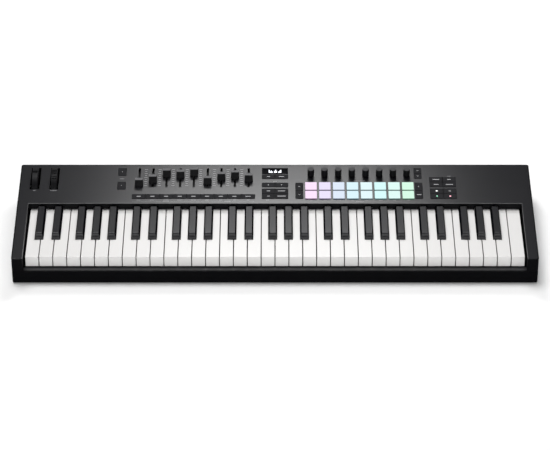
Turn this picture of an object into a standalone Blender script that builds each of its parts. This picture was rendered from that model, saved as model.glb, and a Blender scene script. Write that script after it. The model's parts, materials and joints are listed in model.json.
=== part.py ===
"""A 61-key synthesizer keyboard with two wheels, faders, endless knobs, pads and button blocks.

Metres, +Z up. Sizes are given in the case's own frame: x from the middle, y back from the front edge and
z up from the bottom edge of the case. One empty carries that frame, so the feet stand on z = 0 and the
origin is under the middle of the case. The keys of each octave are three moulded combs, as in a real
keybed: C-E-G-B, D-F-A and the five black keys, each with its own pivot bar under the panel.
"""

from math import atan, cos, pi, sin, tan

import bmesh
import bpy
from mathutils import Matrix, Vector

# Case
WIDTH = 0.890
DEPTH = 0.262
FRONT_HEIGHT = 0.0500
REAR_HEIGHT = 0.0650
SEAM_HEIGHT = 0.0247
WALL = 0.0025
CORNER = 0.003
EDGE = 0.0008
GAP = 0.0003
FOOT_HEIGHT = 0.0015
SLOPE = atan((REAR_HEIGHT - FRONT_HEIGHT) / DEPTH)
LIP_DEPTH = 0.0103
LIP_BAND = 0.007
LIP_STEP = 0.0015
LIP_THICK = 0.0035
ARM_WIDTH = 0.019
RECESS_HALF = WIDTH / 2 - ARM_WIDTH
RECESS_REAR = 0.151
RECESS_WALL_LOW = 0.0469
FAR = 0.1

# Keys
OCTAVES = 5
WHITE_PITCH = 0.0235
KEY_GAP = 0.0015
KEYS_LEFT = -WHITE_PITCH * (7 * OCTAVES + 1) / 2
WHITE_FRONT = 0.012
WHITE_TOP = 0.0455
WHITE_DROP = 0.0194
WHITE_REAR = 0.155
SHELL = 0.0016
WHITE_NAMES = "CDEFGAB"
# Each black key: the white key on its left, and how far its middle lies right of the white keys' boundary.
BLACK_OFFSETS = {"C": -0.0030, "D": 0.0023, "F": -0.0040, "G": -0.0005, "A": 0.0033}
BLACK_SLOT_HALF = 0.0076
BLACK_SLOT_FRONT = 0.062
BLACK_HALF = 0.0068
BLACK_TOP_HALF = 0.0049
BLACK_FRONT = 0.0629
BLACK_REAR = 0.146
BLACK_TOP = 0.0557
BLACK_LOW = 0.0367
BLACK_SLOPE = 0.0051
NOTCH_HALF = 0.0078
NOTCH_TOP = 0.0547
PIVOT_Y = 0.177
BAR_HALF = 0.005
BAR_THICK = 0.006
TAIL_THICK = 0.005
TAIL_HALF = 0.004
PIVOT_HEIGHTS = {"black": 0.0397, "cegb": 0.0297, "dfa": 0.0197}

# Panel controls, all measured on the sloping top
ROW_FRONT = 0.1636
ROW_REAR = 0.2507
BUTTON_RISE = 0.0006
BUTTON_FLANGE = 0.001
BUTTON_CORNER = 0.0012
FLANGE_DROP = 0.0009
SLOT_CLEAR = 0.0004
FADER_COUNT = 9
FADER_LEFT = -0.2368
FADER_PITCH = 0.02385
FADER_SLOT = (0.1962, ROW_REAR)
FADER_SLOT_WIDTH = 0.003
FADER_SLOT_CORNER = 0.0014
FADER_STEM_HALF = (0.0008, 0.0025)
FADER_STEM_LOW = -0.0064
FADER_CAP_LOW = 0.001
FADER_CAP_HALF = (0.00725, 0.0070)
FADER_TOP = 0.0135
FADER_TOP_HALF = (0.0065, 0.0030)
FADER_RESTS = (0.2034, 0.2131, 0.2306, 0.2269, 0.2332, 0.2091, 0.2206, 0.2252, 0.2166)
KNOB_COUNT = 8
KNOB_LEFT = 0.0625
KNOB_PITCH = 0.02389
KNOB_Y = 0.2290
KNOB_RADIUS = 0.00575
KNOB_LOW = 0.001
KNOB_TOP = 0.0153
KNOB_RIM = 0.0012
SHAFT_RADIUS = 0.003
SHAFT_LOW = -0.006
PAD_COLUMNS = 8
PAD_LEFT = 0.0626
PAD_PITCH = 0.02406
PAD_SIZE = (0.0203, 0.0215)
PAD_ROWS = (0.1733, 0.1978)
PAD_RISE = 0.0021
PAD_CORNER = 0.0013
PAD_FOOT = -0.0036
SHEET_LOW = -0.0046
SHEET_MARGIN = 0.0008
WINDOW = ((-0.0225, 0.0225), (0.2337, ROW_REAR))
WINDOW_DEPTH = (-0.0024, -0.0001)
WHEELS = {"pitch_wheel": (-0.4180, 0.0170), "modulation_wheel": (-0.3848, 0.0155)}
WHEEL_SLOT = (0.1905, 0.2510)
WHEEL_Y = 0.2207
WHEEL_DEPTH = 0.019
WHEEL_RADIUS = 0.034
WHEEL_HALF = 0.006
WHEEL_CROWN = 0.001
AXLE_RADIUS = 0.003
AXLE_HALF = 0.0265
BRACKET_HALF = (0.004, 0.015)
BRACKET_OVER_AXLE = 0.006
BUTTON_BLOCKS = {
    "octave_up_button": ((-0.2741, -0.2600), (0.2291, ROW_REAR)),
    "octave_down_button": ((-0.2741, -0.2600), (0.1899, 0.2116)),
    "fader_buttons": ((-0.2479, -0.0348), (ROW_FRONT, 0.1766)),
    "display_buttons": ((-0.0225, 0.0225), (0.2196, 0.2326)),
    "track_buttons": ((-0.0226, 0.0226), (0.1962, 0.2090)),
    "function_buttons": ((-0.0226, 0.0226), (ROW_FRONT, 0.1925)),
    "pad_bank_buttons": ((0.0358, 0.0487), (ROW_FRONT, 0.2090)),
    "encoder_bank_buttons": ((0.2432, 0.2558), (0.2202, ROW_REAR)),
    "pad_side_buttons": ((0.2435, 0.2562), (ROW_FRONT, 0.2090)),
    "edit_buttons": ((0.2695, 0.3150), (0.1967, 0.2248)),
    "transport_buttons": ((0.2695, 0.3150), (ROW_FRONT, 0.1925)),
}

# Inside
BOARD_TOP = -0.012
BOARD_THICK = 0.0016
BOARD_X = (-0.285, 0.330)
BOARD_Y = (0.1575, 0.2575)
SLIDER_BODY = (0.0045, 0.031)
SLIDER_TOP = -0.007
ENCODER_HALF = 0.006
ENCODER_TOP = -0.0066
SCREEN_BODY = (0.022, 0.0075)
SCREEN_TOP = -0.0028
CHASSIS_FLOOR = (0.003, 0.006)
CHASSIS_HALF = 0.424
CHASSIS_FRONT = (0.011, 0.028)
CHASSIS_REAR = (0.1835, 0.1855)
CHASSIS_FRONT_TOP = 0.0157
CHASSIS_REAR_TOP = 0.0427
CONTACTS_HALF = 0.420
CONTACTS_Y = (0.095, 0.125)

# Rear sockets: middle of each, and its outer half sizes or radius
SOCKET_HEIGHT = 0.0407
USB_X = 0.060
USB_HALF = (0.0048, 0.0020)
USB_SKIN = 0.0005
USB_LENGTH = 0.010
USB_MOUTH = 0.007
JACK_X = 0.030
JACK_RADIUS = 0.0055
JACK_BORE = 0.0033
JACK_LENGTH = 0.030
JACK_END = 0.002

# Feet
FOOT_RADIUS = 0.009
FOOT_X = 0.400
FOOT_Y = (0.025, 0.237)

FINISHES = {
    "case": ((0.045, 0.045, 0.052), 0.45, 0.0),
    "tray": ((0.018, 0.018, 0.020), 0.55, 0.0),
    "white_key": ((0.85, 0.85, 0.84), 0.25, 0.0),
    "black_key": ((0.020, 0.020, 0.024), 0.40, 0.0),
    "control": ((0.015, 0.015, 0.017), 0.50, 0.0),
    "button": ((0.030, 0.030, 0.034), 0.60, 0.0),
    "pad": ((0.75, 0.85, 0.88), 0.50, 0.0),
    "window": ((0.006, 0.006, 0.008), 0.08, 0.0),
    "chassis": ((0.10, 0.10, 0.10), 0.60, 0.0),
    "board": ((0.02, 0.16, 0.06), 0.45, 0.0),
    "metal": ((0.60, 0.60, 0.62), 0.30, 1.0),
    "rubber": ((0.02, 0.02, 0.02), 0.85, 0.0),
}


def make_material(name):
    color, roughness, metallic = FINISHES[name]
    made = bpy.data.materials.new(name)
    made.use_nodes = True
    shader = made.node_tree.nodes["Principled BSDF"]
    shader.inputs["Base Color"].default_value = (*color, 1.0)
    shader.inputs["Roughness"].default_value = roughness
    shader.inputs["Metallic"].default_value = metallic
    return made


def panel_height(y):
    """Height of the sloping top at a distance from the front edge."""
    return FRONT_HEIGHT + y * tan(SLOPE)


def on_panel(x, y):
    """The frame of a control: its origin on the top face and its Z axis square to it."""
    return Matrix.Translation((x, y, panel_height(y))) @ Matrix.Rotation(SLOPE, 4, "X")


def wheel_centre(x):
    return on_panel(x, WHEEL_Y) @ Vector((0.0, 0.0, -WHEEL_DEPTH))


def middle(span):
    return (span[0] + span[1]) / 2


def about(centre, half):
    return (centre - half, centre + half)


def rectangle(x, y, z):
    return [Vector((x[i], y[j], z)) for i, j in ((0, 0), (1, 0), (1, 1), (0, 1))]


def level_rectangle(half, z):
    return rectangle(about(0.0, half[0]), about(0.0, half[1]), z)


def ring(radius, z, sides):
    return [Vector((radius * cos(2 * pi * i / sides), radius * sin(2 * pi * i / sides), z)) for i in range(sides)]


def rounded_rectangle(x, y, radius, z_at, steps=3):
    """Corner arcs of a plan outline; z_at gives the height at each y."""
    points = []
    for cx, cy, start in (
        (x[1] - radius, y[0] + radius, -pi / 2),
        (x[1] - radius, y[1] - radius, 0.0),
        (x[0] + radius, y[1] - radius, pi / 2),
        (x[0] + radius, y[0] + radius, pi),
    ):
        for i in range(steps + 1):
            angle = start + i * pi / 2 / steps
            py = cy + radius * sin(angle)
            points.append(Vector((cx + radius * cos(angle), py, z_at(py))))
    return points


def rounded_plate(half, radius, z):
    """A level outline about the origin with rounded corners."""
    return rounded_rectangle(about(0.0, half[0]), about(0.0, half[1]), radius, lambda y: z, 2)


def loft(bm, sections, matrix=None, closed=False):
    """Joins outlines with the same number of points; the two ends are filled unless the loft is closed."""
    place = matrix or Matrix()
    rows = [[bm.verts.new(place @ point) for point in section] for section in sections]
    pairs = list(zip(rows, rows[1:]))
    if closed:
        pairs.append((rows[-1], rows[0]))
    else:
        bm.faces.new(rows[0])
        bm.faces.new(rows[-1])
    for low, high in pairs:
        for i, corner in enumerate(low):
            j = (i + 1) % len(low)
            bm.faces.new((corner, low[j], high[j], high[i]))


def box(bm, x, y, z, matrix=None):
    loft(bm, [rectangle(x, y, z[0]), rectangle(x, y, z[1])], matrix)


def slab(bm, outline, x):
    """A side outline of (y, z) points, carried along X."""
    loft(bm, [[Vector((end, y, z)) for y, z in outline] for end in x])


def inward(outline, distance):
    """The same right-angled outline with every edge moved inwards (points run anticlockwise)."""
    moved = []
    for i, point in enumerate(outline):
        before = (point - outline[i - 1]).normalized()
        after = (outline[(i + 1) % len(outline)] - point).normalized()
        turn = before.cross(after).z
        normals = Vector((-before.y, before.x)) + Vector((-after.y, after.x))
        moved.append(point.to_2d() + normals * distance if turn else point.to_2d())
    return moved


def at_height(outline, z):
    return [Vector((point[0], point[1], z)) for point in outline]


class Builder:
    """Adds objects to the scene under the case's frame."""

    def __init__(self):
        self.frame = bpy.data.objects.new("case_frame", None)
        self.frame.location = (0.0, -DEPTH / 2, FOOT_HEIGHT)
        bpy.context.collection.objects.link(self.frame)
        self.materials = {name: make_material(name) for name in FINISHES}

    def add(self, name, bm, finish=None, frame=None):
        """An object whose mesh is given in the case's frame; frame is its own origin and axes."""
        own = frame or Matrix()
        bmesh.ops.transform(bm, matrix=own.inverted(), verts=bm.verts)
        bmesh.ops.recalc_face_normals(bm, faces=bm.faces)
        mesh = bpy.data.meshes.new(name)
        bm.to_mesh(mesh)
        bm.free()
        made = bpy.data.objects.new(name, mesh)
        made.parent = self.frame
        made.matrix_local = own
        bpy.context.collection.objects.link(made)
        if finish:
            mesh.materials.append(self.materials[finish])
        else:
            made.hide_render = True
            made.display_type = "WIRE"
        return made


def combine(target, operand, operation):
    change = target.modifiers.new(operand.name, "BOOLEAN")
    change.operation = operation
    change.solver = "EXACT"
    change.object = operand


def white_edges(position):
    """Left and right edge of a white key, in front and between the black keys, from the keyboard's C."""
    name = WHITE_NAMES[position % 7]
    left = position * WHITE_PITCH
    right = left + WHITE_PITCH
    front = (left + KEY_GAP / 2, right - KEY_GAP / 2)
    rear = list(front)
    if position == 7 * OCTAVES:
        return front, tuple(rear)
    if name in BLACK_OFFSETS:
        rear[1] = right + BLACK_OFFSETS[name] - BLACK_SLOT_HALF
    before = WHITE_NAMES[position % 7 - 1]
    if position % 7 and before in BLACK_OFFSETS:
        rear[0] = left + BLACK_OFFSETS[before] + BLACK_SLOT_HALF
    return front, tuple(rear)


def white_shell(bm, position):
    """An open-bottomed key, narrowed beside its black neighbours."""
    front, rear = white_edges(position)
    front = [KEYS_LEFT + edge for edge in front]
    rear = [KEYS_LEFT + edge for edge in rear]
    outline = [Vector((front[0], WHITE_FRONT, 0.0)), Vector((front[1], WHITE_FRONT, 0.0))]
    if rear[1] < front[1]:
        outline.append(Vector((front[1], BLACK_SLOT_FRONT, 0.0)))
        outline.append(Vector((rear[1], BLACK_SLOT_FRONT, 0.0)))
    outline.append(Vector((rear[1], WHITE_REAR, 0.0)))
    outline.append(Vector((rear[0], WHITE_REAR, 0.0)))
    if rear[0] > front[0]:
        outline.append(Vector((rear[0], BLACK_SLOT_FRONT, 0.0)))
        outline.append(Vector((front[0], BLACK_SLOT_FRONT, 0.0)))
    inner = inward(outline, SHELL)
    low = WHITE_TOP - WHITE_DROP
    loft(bm, [at_height(inner, WHITE_TOP - SHELL), at_height(inner, low), at_height(outline, low),
              at_height(outline, WHITE_TOP)])
    return middle(rear)


def black_shell(bm, x):
    """An open-bottomed black key with sloping sides and a sloping front."""
    top_y = (BLACK_FRONT + BLACK_SLOPE, BLACK_REAR - GAP)
    low_y = (BLACK_FRONT, BLACK_REAR)
    shoulder = WHITE_TOP + 2 * GAP
    loft(bm, [
        rectangle(about(x, BLACK_TOP_HALF - SHELL), (top_y[0] + SHELL, top_y[1] - SHELL), BLACK_TOP - SHELL),
        rectangle(about(x, BLACK_HALF - SHELL), (low_y[0] + SHELL, low_y[1] - SHELL), shoulder),
        rectangle(about(x, BLACK_HALF - SHELL), (low_y[0] + SHELL, low_y[1] - SHELL), BLACK_LOW),
        rectangle(about(x, BLACK_HALF), low_y, BLACK_LOW),
        rectangle(about(x, BLACK_HALF), low_y, shoulder),
        rectangle(about(x, BLACK_TOP_HALF), top_y, BLACK_TOP),
    ])


def tail_outline(kind):
    """Side outline of the arm from a key's rear end to its pivot bar."""
    low = PIVOT_HEIGHTS[kind] - TAIL_THICK / 2
    high = PIVOT_HEIGHTS[kind] + TAIL_THICK / 2
    rear = PIVOT_Y - BAR_HALF + 2 * GAP
    if kind == "black":
        start = BLACK_REAR - 2 * SHELL
        return [(start, low), (rear, low), (rear, high), (start, high)]
    start = WHITE_REAR - 2 * SHELL
    if kind == "cegb":
        return [(start, low), (rear, low), (rear, high), (start, high)]
    shoulder = WHITE_TOP - WHITE_DROP + TAIL_THICK
    step = WHITE_REAR + SHELL
    return [(start, low), (rear, low), (rear, high), (step, high), (step, shoulder), (start, shoulder)]


def key_comb(builder, name, kind, positions):
    """Keys of one octave on a shared pivot bar; a comb turns about X through its bar."""
    shells = bmesh.new()
    centres = []
    for position in positions:
        if kind == "black":
            letter = WHITE_NAMES[position % 7]
            x = KEYS_LEFT + (position + 1) * WHITE_PITCH + BLACK_OFFSETS[letter]
            black_shell(shells, x)
            centres.append(x)
        else:
            centres.append(white_shell(shells, position))
    tails = bmesh.new()
    for x in centres:
        slab(tails, tail_outline(kind), about(x, TAIL_HALF))
    bar = bmesh.new()
    height = PIVOT_HEIGHTS[kind]
    span = (centres[0] - TAIL_HALF - GAP, centres[-1] + TAIL_HALF + GAP)
    box(bar, span, about(PIVOT_Y, BAR_HALF), about(height, BAR_THICK / 2))
    finish = "black_key" if kind == "black" else "white_key"
    comb = builder.add(name, bar, finish, Matrix.Translation((0.0, PIVOT_Y, height)))
    combine(comb, builder.add(name + ".tails", tails), "UNION")
    combine(comb, builder.add(name + ".shells", shells), "UNION")


def keyboard(builder):
    for octave in range(OCTAVES):
        first = 7 * octave
        for kind, letters in (("cegb", "CEGB"), ("dfa", "DFA"), ("black", "CDFGA")):
            label = "black_keys" if kind == "black" else f"white_keys_{kind}"
            positions = [first + WHITE_NAMES.index(letter) for letter in letters]
            key_comb(builder, f"{label}_{octave + 1}", kind, positions)
    key_comb(builder, "white_key_top_c", "cegb", [7 * OCTAVES])


def black_key_centres():
    for octave in range(OCTAVES):
        for letter, offset in BLACK_OFFSETS.items():
            position = 7 * octave + WHITE_NAMES.index(letter) + 1
            yield KEYS_LEFT + position * WHITE_PITCH + offset


def row(left, pitch, count):
    return [left + pitch * i for i in range(count)]


def control_openings():
    """One cutter for every hole in the panel."""
    bm = bmesh.new()
    through = (-2 * WALL, WALL)

    def rounded_hole(half, corner, place):
        loft(bm, [rounded_plate(half, corner, z) for z in through], place)

    for x, y in BUTTON_BLOCKS.values():
        half = ((x[1] - x[0]) / 2 + SLOT_CLEAR, (y[1] - y[0]) / 2 + SLOT_CLEAR)
        rounded_hole(half, BUTTON_CORNER + SLOT_CLEAR, on_panel(middle(x), middle(y)))
    x, y = WINDOW
    box(bm, about(0.0, (x[1] - x[0]) / 2 + GAP), about(0.0, (y[1] - y[0]) / 2 + GAP), through,
        on_panel(middle(x), middle(y)))
    for x in row(FADER_LEFT, FADER_PITCH, FADER_COUNT):
        half = (FADER_SLOT_WIDTH / 2, (FADER_SLOT[1] - FADER_SLOT[0]) / 2)
        rounded_hole(half, FADER_SLOT_CORNER, on_panel(x, middle(FADER_SLOT)))
    for x in row(KNOB_LEFT, KNOB_PITCH, KNOB_COUNT):
        hole = SHAFT_RADIUS + 2 * GAP
        loft(bm, [ring(hole, z, 16) for z in through], on_panel(x, KNOB_Y))
    for x in row(PAD_LEFT, PAD_PITCH, PAD_COLUMNS):
        for y in PAD_ROWS:
            rounded_hole([size / 2 + SLOT_CLEAR for size in PAD_SIZE], PAD_CORNER + SLOT_CLEAR, on_panel(x, y))
    for x, width in WHEELS.values():
        half = (WHEEL_SLOT[1] - WHEEL_SLOT[0]) / 2
        box(bm, about(0.0, width / 2), about(0.0, half), through, on_panel(x, middle(WHEEL_SLOT)))
    return bm


def key_notches():
    """Round-topped notches in the recess wall, one behind each black key."""
    bm = bmesh.new()
    shoulder = NOTCH_TOP - NOTCH_HALF / 2
    span = (RECESS_REAR - WALL, RECESS_REAR + 2 * WALL)
    arc = [(cos(i * pi / 6), sin(i * pi / 6)) for i in range(7)]
    for x in black_key_centres():
        outline = [(x + NOTCH_HALF * c, shoulder + NOTCH_HALF / 2 * s) for c, s in arc]
        outline += [(x - NOTCH_HALF, RECESS_WALL_LOW - GAP), (x + NOTCH_HALF, RECESS_WALL_LOW - GAP)]
        loft(bm, [[Vector((px, y, pz)) for px, pz in outline] for y in span])
    return bm


def rear_holes():
    bm = bmesh.new()
    span = (DEPTH - 2 * WALL, DEPTH + WALL)
    usb = [half + GAP for half in USB_HALF]
    box(bm, about(USB_X, usb[0]), span, about(SOCKET_HEIGHT, usb[1]))
    facing = Matrix.Translation((JACK_X, 0.0, SOCKET_HEIGHT)) @ Matrix.Rotation(-pi / 2, 4, "X")
    loft(bm, [ring(JACK_RADIUS + GAP, y, 20) for y in span], facing)
    return bm


def top_case(builder):
    """Arms, sloping panel, recess wall and rear wall, open underneath."""
    outer = bmesh.new()
    plan = ((-WIDTH / 2, WIDTH / 2), (0.0, DEPTH))
    low = rounded_rectangle(*plan, CORNER, lambda y: SEAM_HEIGHT + GAP)
    shoulder = rounded_rectangle(*plan, CORNER, lambda y: panel_height(y) - EDGE)
    inset = [(low_end + EDGE, high_end - EDGE) for low_end, high_end in plan]
    top = rounded_rectangle(*inset, CORNER - EDGE, panel_height)
    loft(outer, [low, shoulder, top])
    case = builder.add("top_case", outer, "case")

    def cut(name, bm):
        combine(case, builder.add("top_case." + name, bm), "DIFFERENCE")

    opening = bmesh.new()
    box(opening, about(0.0, RECESS_HALF), (-FAR, RECESS_REAR), (0.0, FAR))
    cut("key_opening", opening)
    under_panel = bmesh.new()
    start = RECESS_REAR + WALL
    rear = DEPTH - WALL
    slab(under_panel, [(start, 0.0), (rear, 0.0), (rear, panel_height(rear) - WALL),
                       (start, panel_height(start) - WALL)], about(0.0, WIDTH / 2 - WALL))
    cut("under_panel", under_panel)
    arms = bmesh.new()
    for side in (-1, 1):
        ends = sorted(side * (WIDTH / 2 - offset) for offset in (WALL, ARM_WIDTH - WALL))
        slab(arms, [(WALL, 0.0), (start + GAP, 0.0), (start + GAP, panel_height(start) - WALL),
                    (WALL, panel_height(WALL) - WALL)], ends)
    cut("arms", arms)
    passage = bmesh.new()
    box(passage, about(0.0, RECESS_HALF - GAP), (RECESS_REAR - WALL, start + WALL), (0.0, RECESS_WALL_LOW))
    cut("key_passage", passage)
    cut("notches", key_notches())
    cut("controls", control_openings())
    cut("sockets", rear_holes())


def bottom_case(builder):
    """A tray with the front lip as a stepped flange on its front wall."""
    bm = bmesh.new()
    plan = ((-WIDTH / 2, WIDTH / 2), (0.0, DEPTH))
    inner = [(low_end + WALL, high_end - WALL) for low_end, high_end in plan]
    foot = [(low_end + EDGE, high_end - EDGE) for low_end, high_end in plan]
    loft(bm, [
        rounded_rectangle(*inner, EDGE, lambda y: WALL),
        rounded_rectangle(*inner, EDGE, lambda y: SEAM_HEIGHT),
        rounded_rectangle(*plan, CORNER, lambda y: SEAM_HEIGHT),
        rounded_rectangle(*plan, CORNER, lambda y: EDGE),
        rounded_rectangle(*foot, CORNER - EDGE, lambda y: 0.0),
    ])
    tray = builder.add("bottom_case", bm, "tray")
    lip = bmesh.new()
    top = SEAM_HEIGHT - GAP / 3
    low = SEAM_HEIGHT - LIP_THICK
    slab(lip, [(WALL / 2, low), (LIP_DEPTH, low), (LIP_DEPTH, top - LIP_STEP), (LIP_BAND, top - LIP_STEP),
               (LIP_BAND, top), (WALL / 2, top)], about(0.0, WIDTH / 2 - WALL / 2))
    combine(tray, builder.add("bottom_case.lip", lip), "UNION")


def button_blocks(builder):
    """Each block is a cap with a flange under the panel that keeps it in."""
    for name, (x, y) in BUTTON_BLOCKS.items():
        place = on_panel(middle(x), middle(y))
        half = ((x[1] - x[0]) / 2, (y[1] - y[0]) / 2)
        wide = [value + BUTTON_FLANGE for value in half]
        flange_low = -2 * WALL
        flange_high = -WALL - FLANGE_DROP
        bm = bmesh.new()
        loft(bm, [
            rounded_plate(wide, BUTTON_CORNER, flange_low),
            rounded_plate(wide, BUTTON_CORNER, flange_high),
            rounded_plate(half, BUTTON_CORNER, flange_high),
            rounded_plate(half, BUTTON_CORNER, BUTTON_RISE),
        ], place)
        builder.add(name, bm, "button", place)


def faders(builder):
    """A cap with a flat top on a thin stem through its slot."""
    for i, x in enumerate(row(FADER_LEFT, FADER_PITCH, FADER_COUNT)):
        place = on_panel(x, FADER_RESTS[i])
        bm = bmesh.new()
        loft(bm, [
            level_rectangle(FADER_STEM_HALF, FADER_STEM_LOW),
            level_rectangle(FADER_STEM_HALF, FADER_CAP_LOW),
            level_rectangle(FADER_CAP_HALF, FADER_CAP_LOW),
            level_rectangle(FADER_TOP_HALF, FADER_TOP),
        ], place)
        builder.add(f"fader_cap_{i + 1}", bm, "control", place)


def knobs(builder):
    sides = 20
    for i, x in enumerate(row(KNOB_LEFT, KNOB_PITCH, KNOB_COUNT)):
        place = on_panel(x, KNOB_Y)
        bm = bmesh.new()
        loft(bm, [
            ring(SHAFT_RADIUS, SHAFT_LOW, sides),
            ring(SHAFT_RADIUS, KNOB_LOW, sides),
            ring(KNOB_RADIUS, KNOB_LOW, sides),
            ring(KNOB_RADIUS, KNOB_TOP - KNOB_RIM, sides),
            ring(KNOB_RADIUS - KNOB_RIM / 3, KNOB_TOP - KNOB_RIM / 3, sides),
            ring(KNOB_RADIUS - KNOB_RIM, KNOB_TOP, sides),
        ], place)
        builder.add(f"knob_{i + 1}", bm, "control", place)


def pad_sheet(builder):
    """Sixteen pads on one flexible sheet under the panel."""
    xs = row(PAD_LEFT, PAD_PITCH, PAD_COLUMNS)
    place = on_panel(middle((xs[0], xs[-1])), middle(PAD_ROWS))
    sheet_x = (xs[-1] - xs[0] + PAD_SIZE[0]) / 2 + SHEET_MARGIN
    sheet_y = (PAD_ROWS[1] - PAD_ROWS[0] + PAD_SIZE[1]) / 2 + SHEET_MARGIN
    sheet = bmesh.new()
    box(sheet, about(0.0, sheet_x), about(0.0, sheet_y), (SHEET_LOW, -WALL - GAP), place)
    made = builder.add("pad_sheet", sheet, "pad", place)
    pads = bmesh.new()
    for x in xs:
        for y in PAD_ROWS:
            half = [size / 2 for size in PAD_SIZE]
            loft(pads, [rounded_plate(half, PAD_CORNER, z) for z in (PAD_FOOT, PAD_RISE)], on_panel(x, y))
    combine(made, builder.add("pad_sheet.pads", pads), "UNION")


def display_window(builder):
    x, y = WINDOW
    place = on_panel(middle(x), middle(y))
    bm = bmesh.new()
    box(bm, about(0.0, (x[1] - x[0]) / 2), about(0.0, (y[1] - y[0]) / 2), WINDOW_DEPTH, place)
    builder.add("display_window", bm, "window", place)


def wheels(builder):
    """Two rims that show through the panel, and the bracket whose axle carries them."""
    along_x = Matrix.Rotation(pi / 2, 4, "Y")
    bore = AXLE_RADIUS + GAP
    for name, (x, _) in WHEELS.items():
        place = Matrix.Translation(wheel_centre(x))
        bm = bmesh.new()
        loft(bm, [
            ring(bore, -WHEEL_HALF, 48),
            ring(WHEEL_RADIUS - WHEEL_CROWN, -WHEEL_HALF, 48),
            ring(WHEEL_RADIUS, WHEEL_CROWN - WHEEL_HALF, 48),
            ring(WHEEL_RADIUS, WHEEL_HALF - WHEEL_CROWN, 48),
            ring(WHEEL_RADIUS - WHEEL_CROWN, WHEEL_HALF, 48),
            ring(bore, WHEEL_HALF, 48),
        ], place @ along_x, closed=True)
        builder.add(name, bm, "control", place)
    centre = wheel_centre(middle([x for x, _ in WHEELS.values()]))
    plate = bmesh.new()
    box(plate, about(centre.x, BRACKET_HALF[0]), about(centre.y, BRACKET_HALF[1]),
        (WALL + GAP, centre.z + BRACKET_OVER_AXLE))
    bracket = builder.add("wheel_bracket", plate, "chassis")
    axle = bmesh.new()
    loft(axle, [ring(AXLE_RADIUS, end, 20) for end in about(0.0, AXLE_HALF)], Matrix.Translation(centre) @ along_x)
    combine(bracket, builder.add("wheel_bracket.axle", axle), "UNION")


def insides(builder):
    """Key chassis, key contact board and the control board with its sliders and encoders."""
    chassis = bmesh.new()
    low, floor = CHASSIS_FLOOR
    front, stop = CHASSIS_FRONT
    inside, rear = CHASSIS_REAR
    slab(chassis, [(front, low), (rear, low), (rear, CHASSIS_REAR_TOP), (inside, CHASSIS_REAR_TOP),
                   (inside, floor), (stop, floor), (stop, CHASSIS_FRONT_TOP), (front, CHASSIS_FRONT_TOP)],
         about(0.0, CHASSIS_HALF))
    builder.add("key_chassis", chassis, "chassis")
    contacts = bmesh.new()
    box(contacts, about(0.0, CONTACTS_HALF), CONTACTS_Y, (floor + GAP, floor + GAP + BOARD_THICK))
    builder.add("key_contact_board", contacts, "board")
    place = on_panel(0.0, middle(BOARD_Y))
    bm = bmesh.new()
    box(bm, BOARD_X, about(0.0, (BOARD_Y[1] - BOARD_Y[0]) / 2), (BOARD_TOP - BOARD_THICK, BOARD_TOP), place)
    board = builder.add("main_board", bm, "board", place)
    parts = bmesh.new()
    sunk = BOARD_TOP - GAP
    for x in row(FADER_LEFT, FADER_PITCH, FADER_COUNT):
        box(parts, about(0.0, SLIDER_BODY[0]), about(0.0, SLIDER_BODY[1]), (sunk, SLIDER_TOP),
            on_panel(x, middle(FADER_SLOT)))
    for x in row(KNOB_LEFT, KNOB_PITCH, KNOB_COUNT):
        box(parts, about(0.0, ENCODER_HALF), about(0.0, ENCODER_HALF), (sunk, ENCODER_TOP), on_panel(x, KNOB_Y))
    box(parts, about(0.0, SCREEN_BODY[0]), about(0.0, SCREEN_BODY[1]), (sunk, SCREEN_TOP),
        on_panel(0.0, middle(WINDOW[1])))
    combine(board, builder.add("main_board.components", parts), "UNION")


def sockets(builder):
    """The USB inlet and the pedal jack, both blind from the rear face."""
    mouth = DEPTH - GAP
    usb = bmesh.new()
    facing = Matrix.Translation((USB_X, 0.0, SOCKET_HEIGHT)) @ Matrix.Rotation(-pi / 2, 4, "X")
    outer = (about(0.0, USB_HALF[0]), about(0.0, USB_HALF[1]))
    inner = (about(0.0, USB_HALF[0] - USB_SKIN), about(0.0, USB_HALF[1] - USB_SKIN))
    loft(usb, [rectangle(*outer, mouth - USB_LENGTH), rectangle(*outer, mouth), rectangle(*inner, mouth),
               rectangle(*inner, mouth - USB_MOUTH)], facing)
    builder.add("usb_socket", usb, "metal")
    jack = bmesh.new()
    facing = Matrix.Translation((JACK_X, 0.0, SOCKET_HEIGHT)) @ Matrix.Rotation(-pi / 2, 4, "X")
    loft(jack, [ring(JACK_RADIUS, mouth - JACK_LENGTH, 20), ring(JACK_RADIUS, mouth, 20),
                ring(JACK_BORE, mouth, 20), ring(JACK_BORE, mouth - JACK_LENGTH + JACK_END, 20)], facing)
    builder.add("pedal_jack", jack, "control")


def feet(builder):
    for i, (x, y) in enumerate((x, y) for y in FOOT_Y for x in (-FOOT_X, FOOT_X)):
        place = Matrix.Translation((x, y, 0.0))
        bm = bmesh.new()
        loft(bm, [ring(FOOT_RADIUS - EDGE, -FOOT_HEIGHT, 20), ring(FOOT_RADIUS, EDGE - FOOT_HEIGHT, 20),
                  ring(FOOT_RADIUS, -GAP, 20)], place)
        builder.add(f"foot_{i + 1}", bm, "rubber", place)


def main():
    for item in list(bpy.data.objects):
        bpy.data.objects.remove(item, do_unlink=True)
    builder = Builder()
    bottom_case(builder)
    top_case(builder)
    keyboard(builder)
    button_blocks(builder)
    faders(builder)
    knobs(builder)
    pad_sheet(builder)
    display_window(builder)
    wheels(builder)
    insides(builder)
    sockets(builder)
    feet(builder)


main()
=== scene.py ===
"""The looks of a 61-key synthesizer keyboard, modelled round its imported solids.

Controls are modelled flat, in the panel's own frame: x to the right, y up the slope from the middle of the
case, z out of the panel. One matrix then lays each of them on the sloping panel.
"""

import json
from math import atan2, cos, pi, radians, sin

import bpy
from mathutils import Matrix, Vector

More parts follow.
